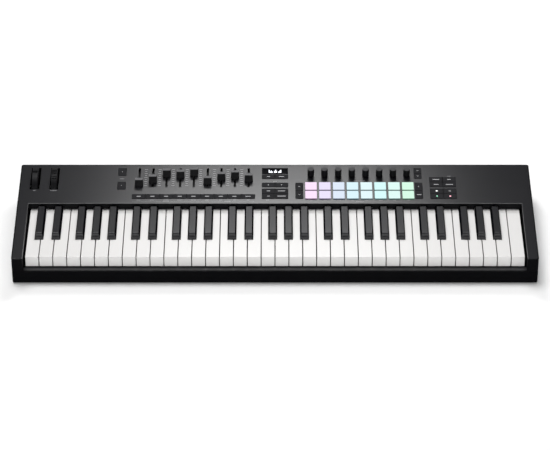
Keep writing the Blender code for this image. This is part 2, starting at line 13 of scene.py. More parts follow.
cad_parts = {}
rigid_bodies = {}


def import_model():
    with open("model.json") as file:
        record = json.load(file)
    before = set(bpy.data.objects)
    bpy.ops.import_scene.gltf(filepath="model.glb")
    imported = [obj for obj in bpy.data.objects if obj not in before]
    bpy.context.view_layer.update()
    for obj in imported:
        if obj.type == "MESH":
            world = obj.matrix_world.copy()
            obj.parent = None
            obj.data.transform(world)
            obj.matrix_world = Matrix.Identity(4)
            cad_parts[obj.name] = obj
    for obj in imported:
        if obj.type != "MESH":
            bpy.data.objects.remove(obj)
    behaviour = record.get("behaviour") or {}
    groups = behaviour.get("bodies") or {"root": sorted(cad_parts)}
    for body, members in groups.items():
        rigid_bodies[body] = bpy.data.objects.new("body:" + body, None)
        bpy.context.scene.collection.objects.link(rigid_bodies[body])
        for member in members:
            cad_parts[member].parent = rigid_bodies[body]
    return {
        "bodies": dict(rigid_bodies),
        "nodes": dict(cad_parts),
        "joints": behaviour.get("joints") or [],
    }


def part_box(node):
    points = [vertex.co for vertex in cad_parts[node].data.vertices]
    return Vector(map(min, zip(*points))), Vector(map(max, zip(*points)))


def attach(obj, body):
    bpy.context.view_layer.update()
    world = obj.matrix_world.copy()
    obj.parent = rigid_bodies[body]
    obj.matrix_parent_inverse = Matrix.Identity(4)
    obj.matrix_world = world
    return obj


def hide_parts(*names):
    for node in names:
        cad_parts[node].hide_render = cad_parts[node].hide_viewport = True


bl_info = {
    "name": "Synthesizer keyboard",
    "version": (1, 0, 0),
    "blender": (4, 5, 0),
    "location": "View3D > Sidebar > Synthesizer",
    "description": "Models the keys, controls, case and studio of a 61-key synthesizer",
    "category": "Object",
}

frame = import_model()
MM = 0.001
CASE_LOW, CASE_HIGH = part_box("top_case")
PANEL_NORMAL = next(Vector(j["axis"]) for j in frame["joints"] if j["name"] == "knob_1_turn")
PANEL_POINT = next(Vector(j["pos_m"]) for j in frame["joints"] if j["name"] == "knob_1_turn")
SLOPE = atan2(-PANEL_NORMAL.y, PANEL_NORMAL.z)
PANEL_MIDDLE = PANEL_POINT.z - PANEL_POINT.y * sin(SLOPE) / cos(SLOPE)
PANEL = Matrix.Translation((0.0, 0.0, PANEL_MIDDLE)) @ Matrix.Rotation(SLOPE, 4, "X")
FLAT = PANEL.inverted()

KEYS_LOW, KEYS_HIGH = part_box("white_keys_cegb_1")
LAST_LOW, LAST_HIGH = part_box("white_key_top_c")
KEY_GAP = LAST_LOW.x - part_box("white_keys_cegb_5")[1].x
BLACK_LOW, BLACK_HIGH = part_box("black_keys_1")
WHITE_COUNT = 36
KEYS_LEFT = KEYS_LOW.x - KEY_GAP / 2
WHITE_PITCH = (LAST_HIGH.x + KEY_GAP / 2 - KEYS_LEFT) / WHITE_COUNT
WHITE_NAMES = "CDEFGAB"
# How far a black key's middle lies right of the boundary after the white key of that name.
BLACK_OFFSETS = {"C": -3.0 * MM, "D": 2.3 * MM, "F": -4.0 * MM, "G": -0.5 * MM, "A": 3.3 * MM}
BLACK_SLOT_HALF = 7.6 * MM
BLACK_HALF = 6.8 * MM
BLACK_TOP_HALF = 5.2 * MM
BLACK_DEPTH = 83.1 * MM
BLACK_SLOPE = 5.1 * MM
WHITE_DEPTH = 143.0 * MM
KEY_SHELL = 1.6 * MM
WHITE_TOP_SKIN = 16.5 * MM
BOARD_THICK = 1.6 * MM
RECESS_HALF = 426.0 * MM
RECESS_REAR = 20.0 * MM
SLOT_REACH = 2.2 * MM
SLOT_FRONT = 60.0 * MM
SLOT_DEEP = 3.0 * MM
SLOT_WIDER = 1.35
LEDGE_RISE = 1.3 * MM
LEDGE_BACK = 0.8 * MM
SCALE_REAR = (FLAT @ CASE_HIGH).y - 15.3 * MM
# The floor glows from one strength to another between two distances from the middle, so that it stays pale
# where the softboxes don't reach.
FLOOR_GLOW = (0.9, 3.0, 0.03, 0.26)
# Brightness of the sky by the sine of its elevation.
SKY_LEVELS = ((-1.0, 0.0), (-0.03, 0.0), (-0.02, 1.0), (0.08, 1.0), (0.26, 0.04), (1.0, 0.04))
MARK = 0.06 * MM
# The buttons of each block: columns and rows.
BUTTON_GRIDS = {
    "octave_up_button": (1, 1), "octave_down_button": (1, 1), "fader_buttons": (9, 1),
    "display_buttons": (2, 1), "track_buttons": (2, 1), "function_buttons": (2, 2),
    "pad_bank_buttons": (1, 2), "encoder_bank_buttons": (1, 2), "pad_side_buttons": (1, 2),
    "edit_buttons": (2, 2), "transport_buttons": (2, 2),
}
BUTTON_SPLIT = 0.8 * MM
BUTTON_EDGE = 0.25 * MM
BUTTON_DEPTH = 4.8 * MM
# Fader caps in millimetres: width and length at the foot and at the finger rest; then their heights.
CAP_FOOT = (14.5, 14.0)
CAP_REST = (13.0, 6.0)
CAP_LOW = 1.0 * MM
CAP_TOP = 13.5 * MM
CAP_PAINTED = 12.6 * MM
KNOB_SIDES = 48
KNOB_RADIUS = 5.75 * MM
KNOB_LOW = 1.0 * MM
KNOB_TOP = 15.3 * MM
KNOB_PAINTED = 14.5 * MM
WHEEL_SIDES = 144
WHEEL_BORE = 3.3 * MM
# Grooves across each wheel's rim, in degrees from the top towards the player.
WHEEL_GROOVES = {"pitch_wheel": (1.0, 3.5), "modulation_wheel": (-4.0, 4.0, 12.0, 20.0, 28.0)}
PAD_HALF = Vector((10.15, 10.75)) * MM
PAD_DEPTH = 3.0 * MM
SHEET_EDGE = 0.8 * MM
# The bar chart on the display, in millimetres.
CHART_HEIGHTS = (8.0, 3.2, 6.0, 3.2, 0.0, 5.0, 8.0, 5.0, 0.0, 3.2, 5.6, 8.0)
CHART_PITCH = 1.85 * MM
CHART_WIDTH = 1.3 * MM
CHART_FOOT = 4.2 * MM
TICKS = 9
TICK_PITCH = 5.7 * MM
# Case screws under the tray, in millimetres.
SCREW_COLUMNS = (-425.0, -255.0, -85.0, 85.0, 255.0, 425.0)
SCREW_ROWS = (-112.0, -20.0, 96.0)
SCREW_RADIUS = 2.9 * MM
# Studio: where the lights and the camera stand and what the lights face.
LIT_POINT = Vector((0.0, 0.06, 0.05))
OVERHEAD_PLACE = (-0.45, 0.6, 3.0)
REAR_PLACE = (0.0, 0.896, 1.046)
FRONT_PLACE = (0.0, -2.6, 0.75)
CAMERA_PLACE = (0.0, -3.9751, 2.8515)
CAMERA_TILT = radians(54.62)
CAMERA_LENS = 184.7


# Small tools for modelling


def only(piece):
    """Makes one piece the whole selection, in object mode."""
    if bpy.context.mode != "OBJECT":
        bpy.ops.object.mode_set(mode="OBJECT")
    for other in bpy.context.selected_objects:
        other.select_set(False)
    if piece:
        piece.select_set(True)
        bpy.context.view_layer.objects.active = piece


def named(name):
    """The object just added, with its place baked into its mesh."""
    piece = bpy.context.active_object
    piece.name = name
    piece.data.name = name
    bpy.ops.object.transform_apply(location=True, rotation=True, scale=True)
    return piece


def block(name, low, high):
    """A cube primitive between two corners."""
    low, high = Vector(low), Vector(high)
    only(None)
    bpy.ops.mesh.primitive_cube_add(size=1.0, location=(low + high) / 2, scale=high - low)
    return named(name)


def drum(name, centre, radius, height, sides=32, turn=(0.0, 0.0, 0.0)):
    """A cylinder primitive by its centre, its axis along its own Z before the turn."""
    only(None)
    bpy.ops.mesh.primitive_cylinder_add(
        vertices=sides, radius=radius, depth=height, location=centre, rotation=turn
    )
    return named(name)


def choose(piece, kind, test, by_middle=False):
    """Opens edit mode with those vertices, edges or faces chosen whose corners, or middles, pass the test."""
    only(piece)
    mesh = piece.data
    kinds = {"VERT": mesh.vertices, "EDGE": mesh.edges, "FACE": mesh.polygons}
    for group in kinds.values():
        group.foreach_set("select", [False] * len(group))
    bpy.context.tool_settings.mesh_select_mode = [kind == each for each in kinds]
    for item in kinds[kind]:
        corners = [item.co] if kind == "VERT" else [mesh.vertices[i].co for i in item.vertices]
        if by_middle:
            corners = [sum(corners, Vector()) / len(corners)]
        item.select = all(test(corner) for corner in corners)
    bpy.ops.object.mode_set(mode="EDIT")


def done():
    bpy.ops.object.mode_set(mode="OBJECT")


def bevel(piece, test, width, segments=3, by_middle=False):
    choose(piece, "EDGE", test, by_middle)
    bpy.ops.mesh.bevel(offset=width, segments=segments, affect="EDGES")
    done()


def inset(piece, test, *steps, by_middle=False, singly=False):
    """Insets the chosen faces, once for each pair of thickness and depth."""
    choose(piece, "FACE", test, by_middle)
    for thickness, depth in steps:
        bpy.ops.mesh.inset(thickness=thickness, depth=depth, use_individual=singly)
    done()


def near(value, wanted, reach=1e-5):
    return abs(value - wanted) < reach


def push(piece, test, thickness, depth):
    """Insets the chosen faces and moves what is inside by a vector."""
    choose(piece, "FACE", test)
    bpy.ops.mesh.inset(thickness=thickness)
    bpy.ops.mesh.extrude_region_move(TRANSFORM_OT_translate={"value": depth})
    done()


def merge_with(piece, other, operation="UNION"):
    """A Boolean with another piece, which is used up."""
    only(piece)
    change = piece.modifiers.new("join", "BOOLEAN")
    change.operation = operation
    change.object = other
    bpy.ops.object.modifier_apply(modifier="join")
    discard(other)
    choose(piece, "FACE", lambda corner: True)
    bpy.ops.mesh.dissolve_limited(angle_limit=radians(0.5))
    done()
    return piece


def cut(piece, tool):
    return merge_with(piece, tool, "DIFFERENCE")


def join(pieces, name):
    only(pieces[0])
    for other in pieces[1:]:
        other.select_set(True)
    bpy.ops.object.join()
    pieces[0].name = name
    pieces[0].data.name = name
    return pieces[0]


def copy_of(piece, name, shift=(0.0, 0.0, 0.0)):
    made = piece.copy()
    made.data = piece.data.copy()
    made.name = name
    made.data.name = name
    bpy.context.scene.collection.objects.link(made)
    made.data.transform(Matrix.Translation(shift))
    return made


def lay_on_panel(piece):
    piece.data.transform(PANEL)
    return piece


def corners_of(points):
    """The lowest and highest corner of the box round some points."""
    low = Vector([min(point[i] for point in points) for i in range(3)])
    high = Vector([max(point[i] for point in points) for i in range(3)])
    return low, high


def flat_box(node):
    """A node's lowest and highest corner in the panel's frame."""
    return corners_of([FLAT @ vertex.co for vertex in frame["nodes"][node].data.vertices])


def cap_outline(node):
    """The lowest and highest corner of a node's top face in the panel's frame."""
    points = [FLAT @ vertex.co for vertex in frame["nodes"][node].data.vertices]
    top = max(point.z for point in points)
    return corners_of([point for point in points if near(point.z, top, 1e-4)])


def settle(piece, finish, body, slot, *nodes, angle=40.0):
    """The last step of every piece: shading, its finish, its body and the nodes that it stands for."""
    only(piece)
    bpy.ops.object.shade_smooth_by_angle(angle=radians(angle))
    weights = piece.modifiers.new("normals", "WEIGHTED_NORMAL")
    weights.keep_sharp = True
    bpy.ops.object.modifier_apply(modifier="normals")
    piece.data.materials.clear()
    for each in finish if isinstance(finish, (list, tuple)) else [finish]:
        piece.data.materials.append(each)
    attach(piece, body)
    if nodes:
        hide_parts(*nodes)
    return piece


def discard(*pieces):
    for piece in pieces:
        bpy.data.objects.remove(piece, do_unlink=True)


# Finishes


class Finish:
    """A material under construction: a Principled shader and what is wired to it."""

    def __init__(self, name, color, roughness=0.5, specular=0.5, **sockets):
        self.material = bpy.data.materials.new(name)
        self.material.use_nodes = True
        self.nodes = self.material.node_tree.nodes
        self.links = self.material.node_tree.links
        self.shader = self.nodes["Principled BSDF"]
        self.shader.inputs["Base Color"].default_value = (*color, 1.0)
        self.shader.inputs["Roughness"].default_value = roughness
        self.shader.inputs["Specular IOR Level"].default_value = specular
        for label, value in sockets.items():
            self.shader.inputs[label.replace("_", " ")].default_value = value
        self.place = None

    def node(self, kind, **values):
        made = self.nodes.new(kind)
        for label, value in values.items():
            if label in made.inputs:
                made.inputs[label].default_value = value
            else:
                setattr(made, label, value)
        return made

    def coordinates(self):
        if not self.place:
            self.place = self.node("ShaderNodeTexCoord")
        return self.place.outputs["Object"]

    def noise(self, scale, detail=2.0):
        made = self.node("ShaderNodeTexNoise", Scale=scale, Detail=detail)
        self.links.new(self.coordinates(), made.inputs["Vector"])
        return made.outputs["Fac"]

    def mottle(self, scale, dark, light):
        """Slow colour variation between two colours."""
        ramp = self.node("ShaderNodeValToRGB")
        ramp.color_ramp.elements[0].position = 0.35
        ramp.color_ramp.elements[0].color = (*dark, 1.0)
        ramp.color_ramp.elements[1].position = 0.65
        ramp.color_ramp.elements[1].color = (*light, 1.0)
        self.links.new(self.noise(scale, 3.0), ramp.inputs["Fac"])
        self.links.new(ramp.outputs["Color"], self.shader.inputs["Base Color"])
        return self

    def spread(self, source, ends, socket):
        """Maps a value from one range to another and wires it to a socket of the shader."""
        made = self.node("ShaderNodeMapRange")
        for label, value in zip(("From Min", "From Max", "To Min", "To Max"), ends):
            made.inputs[label].default_value = value
        self.links.new(source, made.inputs["Value"])
        self.links.new(made.outputs["Result"], self.shader.inputs[socket])
        return self

    def sheen_patches(self, scale, low, high):
        """Roughness that wanders between two values, like handled plastic."""
        return self.spread(self.noise(scale, 3.0), (0.3, 0.7, low, high), "Roughness")

    def grain(self, scale, height, strength=0.3):
        """A fine moulded texture."""
        bump = self.node("ShaderNodeBump", Strength=strength, Distance=height)
        self.links.new(self.noise(scale, 2.0), bump.inputs["Height"])
        self.links.new(bump.outputs["Normal"], self.shader.inputs["Normal"])
        return self


def plain_finishes(colors):
    """The unlit finishes, one row each.

    A row holds the material's name, colour, roughness and specular level. Then come the mottle of its colour
    (scale, darkest and lightest share), the patches of its roughness (scale, lowest and highest) and its
    grain (scale, height in millimetres, strength).
    """
    case, buttons = tuple(colors.case), tuple(colors.buttons)
    white, black = tuple(colors.white_keys), tuple(colors.black_keys)
    return {
        "case": ("case_satin_charcoal", case, 0.30, 0.5, (9.0, 0.98, 1.02), (12.0, 0.295, 0.305),
                 (2600.0, 0.05, 0.04)),
        # painted shade: a darker, nearly non-reflective copy of the case finish for the recess walls, slot
        # insides and rounded outer edges
        "recess": ("recess_matt_black", (0.003, 0.003, 0.004), 0.6, 0.1, None, (60.0, 0.55, 0.65),
                   (2200.0, 0.05, 0.3)),
        # painted highlight: a lighter, shinier charcoal on the upward faces of the black tray's lip and
        # ledge, for the sheen of the light above
        "lip": ("lip_satin_charcoal", (0.018, 0.018, 0.021), 0.32, 0.55, None, (40.0, 0.3, 0.34),
                (2200.0, 0.05, 0.1)),
        "tray": ("tray_textured_black", (0.003, 0.003, 0.0038), 0.4, 0.15, None, (40.0, 0.37, 0.43),
                 (1800.0, 0.08, 0.25)),
        "white_key": ("white_key_gloss", white, 0.26, 0.3, (14.0, 0.996, 1.0), (70.0, 0.25, 0.27), None),
        "black_key": ("black_key_satin", black, 0.36, 0.33, None, (80.0, 0.34, 0.38), (3000.0, 0.04, 0.15)),
        # painted shade: the black keys' sides, the same plastic with no reflection so that they look darker
        "black_side_shade": ("black_key_matt_side", black, 0.8, 0.0, (70.0, 0.9, 1.1), None, (3000.0, 0.04, 0.15)),
        "rubber": ("soft_black_rubber", (0.005, 0.005, 0.006), 0.6, 0.15, None, (90.0, 0.56, 0.68),
                   (3400.0, 0.05, 0.3)),
        "cap_top": ("cap_top_grey", (0.13, 0.13, 0.135), 0.5, 0.15, None, (120.0, 0.4, 0.5),
                    (3200.0, 0.03, 0.2)),
        "knob_top": ("knob_top_charcoal", (0.045, 0.045, 0.048), 0.5, 0.15, None, (120.0, 0.45, 0.55),
                     (3200.0, 0.03, 0.2)),
        "wheel": ("wheel_satin_black", (0.006, 0.006, 0.007), 0.45, 0.1, None, (80.0, 0.42, 0.5),
                  (2800.0, 0.04, 0.25)),
        "button": ("button_silicone", buttons, 0.7, 0.1, (60.0, 0.92, 1.08), None, (3200.0, 0.04, 0.25)),
        "window": ("display_glass", (0.002, 0.002, 0.003), 0.15, 0.03, None, (50.0, 0.13, 0.17), None),
        "print": ("pale_print", (0.42, 0.42, 0.43), 0.5, 0.5, (300.0, 0.905, 1.095), None, None),
        "scale_print": ("grey_print", (0.26, 0.26, 0.27), 0.5, 0.5, (300.0, 0.923, 1.077), None, None),
        "button_print": ("button_print", (0.62, 0.62, 0.64), 0.5, 0.5, (300.0, 0.92, 1.065), None, None),
        "metal": ("nickel", (0.55, 0.55, 0.56), 0.3, 0.5, None, (200.0, 0.22, 0.38), None),
        "brass": ("contact_brass", (0.75, 0.55, 0.25), 0.3, 0.5, None, (200.0, 0.25, 0.35), None),
        "steel": ("screw_black_steel", (0.06, 0.06, 0.065), 0.38, 0.5, None, (300.0, 0.3, 0.45), None),
        "foot": ("foot_rubber", (0.018, 0.018, 0.018), 0.8, 0.5, (120.0, 0.833, 1.222), None,
                 (1500.0, 0.08, 0.5)),
        "chassis": ("chassis_grey", (0.09, 0.09, 0.09), 0.6, 0.5, (25.0, 0.889, 1.111), None,
                    (900.0, 0.08, 0.3)),
        "board": ("board_dark_green", (0.002, 0.010, 0.005), 0.5, 0.2, (160.0, 0.85, 1.18), None, None),
        "felt": ("slot_felt", (0.004, 0.004, 0.004), 0.95, 0.5, None, None, (2500.0, 0.15, 0.6)),
    }


def lit_finishes(colors):
    """The display, the small lights and the pads, whose skirts glow less than their tops."""
    glows = {
        "screen_glow": ((0.9, 0.93, 1.0), 1.0), "lamp_white": ((1.0, 1.0, 1.0), 0.7),
        "lamp_bar": ((0.24, 0.24, 0.245), 0.4), "lamp_green": ((0.35, 0.95, 0.62), 0.5),
        "lamp_red": ((1.0, 0.45, 0.55), 0.5),
    }
    made = {}
    for name, (color, strength) in glows.items():
        made[name] = Finish(name, color, Emission_Color=(*color, 1.0), Emission_Strength=strength)
    for i in range(1, 9):
        color = tuple(getattr(colors, f"pad_{i}"))
        for name, tone in ((f"pad_{i}", color), (f"pad_skirt_{i}", tuple(0.3 * c * c for c in color))):
            body = tuple(0.42 * c for c in tone)
            made[name] = Finish(name, body, 0.5, 0.2, Emission_Color=(*tone, 1.0),
                                Emission_Strength=colors.pad_glow).grain(1800.0, 0.04 * MM, 0.1)
    return made


def make_finishes(colors):
    """Every finish of the object, by name."""
    made = lit_finishes(colors)
    for name, (label, color, roughness, specular, mottle, patches, grain) in plain_finishes(colors).items():
        finish = made[name] = Finish(label, color, roughness, specular)
        if mottle:
            scale, dark, light = mottle
            finish.mottle(scale, [c * dark for c in color], [c * light for c in color])
        if patches:
            finish.sheen_patches(*patches)
        if grain:
            finish.grain(grain[0], grain[1] * MM, grain[2])
    for name in ("metal", "brass", "steel"):
        made[name].shader.inputs["Metallic"].default_value = 1.0
    made["felt"].shader.inputs["Sheen Weight"].default_value = 0.3
    return {name: finish.material for name, finish in made.items()}


# Case


def clean_copy(node, name):
    """A copy of a node's solid with its loose triangles merged into whole faces."""
    made = copy_of(frame["nodes"][node], name)
    for key in list(made.keys()):
        del made[key]
    made.parent = None
    choose(made, "FACE", lambda corner: True)
    bpy.ops.mesh.remove_doubles(threshold=0.002 * MM)
    bpy.ops.mesh.select_all(action="SELECT")
    bpy.ops.mesh.dissolve_limited(angle_limit=radians(1.0))
    done()
    return made


def soften(piece, width, segments=2, angle=32.0):
    """Rounds every sharp edge by the same small radius."""
    only(piece)
    change = piece.modifiers.new("edges", "BEVEL")
    change.width = width
    change.segments = segments
    change.limit_method = "ANGLE"
    change.angle_limit = radians(angle)
    change.use_clamp_overlap = True
    bpy.ops.object.modifier_apply(modifier="edges")


def paint_faces(piece, index, test):
    """Gives the faces whose corners all pass the test another of the piece's finishes."""
    mesh = piece.data
    for face in mesh.polygons:
        if all(test(mesh.vertices[i].co) for i in face.vertices):
            face.material_index = index


def paint_side_shade(piece, index):
    """Gives the faces that look left or right another of the piece's finishes, which holds the painted shade
    of its sides.
    """
    for face in piece.data.polygons:
        if abs(face.normal.x) > 0.7:
            face.material_index = index


def on_panel(point):
    return near((FLAT @ point).z, 0.0, 0.05 * MM)


def by_outer_edge(point):
    """Whether a point lies within a few millimetres of the sides or the rear of the case."""
    return abs(point.x) > CASE_HIGH.x - 5.0 * MM or point.y > CASE_HIGH.y - 5.0 * MM


def by_recess(point):
    """Whether a point lies on the upper edge round the keys."""
    beside = near(abs(point.x), RECESS_HALF, 0.1 * MM) and point.y < RECESS_REAR + 0.1 * MM
    behind = near(point.y, RECESS_REAR, 0.1 * MM) and abs(point.x) < RECESS_HALF + 0.1 * MM
    return beside or behind


def widen_slots(shell):
    """Moves the side walls of the nine fader slots apart."""
    for i in range(9):
        low, high = flat_box(f"fader_cap_{i + 1}")
        middle = (low.x + high.x) / 2
        for vertex in shell.data.vertices:
            point = FLAT @ vertex.co
            if abs(point.x - middle) < SLOT_REACH and point.y > SLOT_FRONT and point.z > -SLOT_DEEP:
                vertex.co.x = middle + (vertex.co.x - middle) * SLOT_WIDER


def raise_ledge(tray, lowest):
    """Brings the ledge behind the front lip up and back, so that it nearly closes the gap under the keys."""
    rear = max(v.co.y for v in tray.data.vertices if v.co.z > lowest and v.co.y < KEYS_LOW.y)
    for vertex in tray.data.vertices:
        place = vertex.co
        if rear - 4.0 * MM < place.y < KEYS_LOW.y and lowest < place.z < lowest + MM:
            place.z += LEDGE_RISE
        if near(place.y, rear):
            place.y += LEDGE_BACK


def build_case(finishes, sizes):
    shell = clean_copy("top_case", "case_top")
    widen_slots(shell)
    bevel(shell, lambda p: on_panel(p) and by_outer_edge(p), sizes.case_edge)
    bevel(shell, lambda p: on_panel(p) and by_recess(p), sizes.recess_edge, 2)
    soften(shell, 0.35 * MM)
    settle(shell, [finishes["case"], finishes["recess"]], "root", "case", "top_case")
    # Painted shade: the rounded outer edges, the walls round the keys and the insides of the slots take the
    # darker recess finish.
    for face in shell.data.polygons:
        if by_outer_edge(face.center):
            dark = face.normal.dot(PANEL_NORMAL) < 0.97 and face.normal.z > 0.1
        else:
            dark = face.normal.z < 0.3 or (FLAT @ face.center).z < -2.0 * MM
        if dark:
            face.material_index = 1
    tray = clean_copy("bottom_case", "case_tray")
    lip_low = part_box("top_case")[0].z - 2.5 * MM
    raise_ledge(tray, lip_low)
    soften(tray, 0.5 * MM)
    settle(tray, [finishes["tray"], finishes["lip"]], "root", "tray", "bottom_case")
    # Painted highlight: the upward faces of the lip and of the ledge behind it take the lighter lip finish.
    for face in tray.data.polygons:
        if face.normal.z > 0.5 and face.center.z > lip_low and face.center.y < KEYS_LOW.y:
            face.material_index = 1


# Keys


def white_edges(position):
    """Left and right edge of a white key, in front and between its black neighbours."""
    name = WHITE_NAMES[position % 7]
    left = KEYS_LEFT + position * WHITE_PITCH
    front = (left + KEY_GAP / 2, left + WHITE_PITCH - KEY_GAP / 2)
    rear = list(front)
    if position < WHITE_COUNT - 1 and name in BLACK_OFFSETS:
        rear[1] = left + WHITE_PITCH + BLACK_OFFSETS[name] - BLACK_SLOT_HALF
    before = WHITE_NAMES[position % 7 - 1]
    if position % 7 and before in BLACK_OFFSETS:
        rear[0] = left + BLACK_OFFSETS[before] + BLACK_SLOT_HALF
    return front, tuple(rear)


def white_key(position, name, rounding):
    """A hollow white key: a wide head and a narrow neck, with rounded playing edges."""
    front, rear = white_edges(position)
    low, top = KEYS_LOW.z, KEYS_HIGH.z
    y_front = KEYS_LOW.y
    y_slot = BLACK_LOW.y - 0.9 * MM
    y_rear = y_front + WHITE_DEPTH
    key = block(name, (front[0], y_front, low), (front[1], y_slot, top))
    neck = block("neck", (rear[0], y_slot - KEY_SHELL, low), (rear[1], y_rear, top))
    merge_with(key, neck)
    push(key, lambda p: near(p.z, low), KEY_SHELL, (0.0, 0.0, WHITE_TOP_SKIN))
    choose(key, "FACE", lambda p: near(p.z, top))
    bpy.ops.mesh.bisect(plane_co=(0.0, y_slot, 0.0), plane_no=(0.0, 1.0, 0.0))
    done()
    bevel(key, lambda p: near(p.z, top), rounding)
    below = top - 0.4 * MM
    bevel(key, lambda p: near(p.y, y_front) and p.z < below and min(abs(p.x - x) for x in front) < 1e-5,
          0.4 * MM, 2)
    return key


def black_key(name, x):
    """A hollow black key with leaning sides, a sloping nose and a rounded top."""
    low, top = BLACK_HIGH.z - 19.0 * MM, BLACK_HIGH.z
    front, rear = BLACK_LOW.y, BLACK_LOW.y + BLACK_DEPTH
    shoulder = KEYS_HIGH.z + 0.6 * MM
    key = block(name, (x - BLACK_HALF, front, low), (x + BLACK_HALF, rear, top))
    choose(key, "FACE", lambda p: True)
    bpy.ops.mesh.bisect(plane_co=(x, front, shoulder), plane_no=(0.0, 0.0, 1.0))
    done()
    choose(key, "FACE", lambda p: near(p.z, top))
    bpy.ops.transform.resize(value=(BLACK_TOP_HALF / BLACK_HALF, 1.0, 1.0), center_override=(x, front, top))
    done()
    choose(key, "EDGE", lambda p: near(p.z, top) and near(p.y, front))
    bpy.ops.transform.translate(value=(0.0, BLACK_SLOPE, 0.0))
    done()
    push(key, lambda p: near(p.z, low), KEY_SHELL, (0.0, 0.0, 15.0 * MM))
    bevel(key, lambda p: near(p.z, top) and near(p.y, front + BLACK_SLOPE), 1.6 * MM, 4)
    bevel(key, lambda p: near(p.z, top, 1.8 * MM) and not near(p.y, rear, 0.1 * MM)
          and abs(p.x - x) > BLACK_TOP_HALF - 0.3 * MM, 0.5 * MM)
    return key


def comb_name(kind, octave):
    return f"black_keys_{octave}" if kind == "black" else f"white_keys_{kind}_{octave}"


def build_keys(finishes, sizes):
    models = {}
    for position in (*range(7), WHITE_COUNT - 1):
        models[position] = white_key(position, f"model_{position}", sizes.key_edge)
    for position in range(WHITE_COUNT):
        octave, step = divmod(position, 7)
        letter = WHITE_NAMES[step]
        name = f"white_key_{letter.lower()}_{octave + 1}"
        if position == WHITE_COUNT - 1:
            key = copy_of(models[position], name)
            body = "white_key_top_c"
        else:
            key = copy_of(models[step], name, (octave * 7 * WHITE_PITCH, 0.0, 0.0))
            body = comb_name("cegb" if letter in "CEGB" else "dfa", octave + 1)
        settle(key, finishes["white_key"], body, "white_key", body)
    model = black_key("model_black", 0.0)
    for octave in range(5):
        for letter, offset in BLACK_OFFSETS.items():
            x = KEYS_LEFT + (7 * octave + WHITE_NAMES.index(letter) + 1) * WHITE_PITCH + offset
            body = comb_name("black", octave + 1)
            key = copy_of(model, f"black_key_{letter.lower()}_sharp_{octave + 1}", (x, 0.0, 0.0))
            settle(key, [finishes["black_key"], finishes["black_side_shade"]], body, "black_key", body)
            # Painted shade: the sides take the copy of the finish without reflection.
            paint_side_shade(key, 1)
    discard(*models.values(), model)


# Inside


def comb_bars(finishes):
    """The moulded bar that each comb's keys share under the panel."""
    for body in sorted(frame["bodies"]):
        if "_key" not in body:
            continue
        pivot = next(Vector(j["pos_m"]) for j in frame["joints"] if j["child"] == body)
        low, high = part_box(body)
        inside = 5.0 * MM
        bar = block("bar_" + body, (low.x + inside, pivot.y - 5.0 * MM, pivot.z - 3.0 * MM),
                    (high.x - inside, pivot.y + 5.0 * MM, pivot.z + 3.0 * MM))
        bevel(bar, lambda p: True, 0.6 * MM, 2)
        finish = "black_key" if body.startswith("black") else "white_key"
        settle(bar, finishes[finish], body, finish)


def dress_inside(finishes):
    """Better finishes for the inner solids: boards, chassis and the wheels' bracket."""
    wanted = {"key_contact_board": ["board"], "main_board": ["board", "felt"], "key_chassis": ["felt"],
              "wheel_bracket": ["chassis"]}
    for node, names in wanted.items():
        materials = frame["nodes"][node].data.materials
        materials.clear()
        for name in names:
            materials.append(finishes[name])
    board_top = flat_box("main_board")[0].z + BOARD_THICK + 0.2 * MM
    paint_faces(frame["nodes"]["main_board"], 1, lambda p: (FLAT @ p).z > board_top)


# Controls


def fader_cap(name):
    """A cap that narrows to a dished finger rest, with its thin stem."""
    half = Vector(CAP_FOOT) / 2 * MM
    cap = block(name, (-half.x, -half.y, CAP_LOW), (half.x, half.y, CAP_TOP))
    choose(cap, "FACE", lambda p: near(p.z, CAP_TOP))
    narrower = (CAP_REST[0] / CAP_FOOT[0], CAP_REST[1] / CAP_FOOT[1], 1.0)
    bpy.ops.transform.resize(value=narrower, center_override=(0.0, 0.0, CAP_TOP))
    done()
    bevel(cap, lambda p: True, 0.7 * MM)
    inset(cap, lambda p: p.z > CAP_TOP - 0.05 * MM, (0.5 * MM, 0.0), (0.4 * MM, -0.5 * MM))
    stem = block("stem", (-0.8 * MM, -2.5 * MM, -6.4 * MM), (0.8 * MM, 2.5 * MM, 1.2 * MM))
    bevel(stem, lambda p: p.z < 0.0, 0.2 * MM, 1)
    return join([cap, stem], name)


def stand_on(model, nodes, name, finish, painted, angle=40.0):
    """Copies a control to the middle of each node, painted above a height; the model is used up."""
    for i, node in enumerate(nodes):
        low, high = flat_box(node)
        piece = copy_of(model, f"{name}_{i + 1}", ((low.x + high.x) / 2, (low.y + high.y) / 2, 0.0))
        settle(piece, finish, node, "control", node, angle=angle)
        paint_faces(piece, 1, lambda p: p.z > painted)
        lay_on_panel(piece)
    discard(model)


def build_faders(finishes):
    nodes = [f"fader_cap_{i + 1}" for i in range(9)]
    finish = [finishes["rubber"], finishes["cap_top"]]
    stand_on(fader_cap("model_cap"), nodes, "fader_top", finish, CAP_PAINTED)


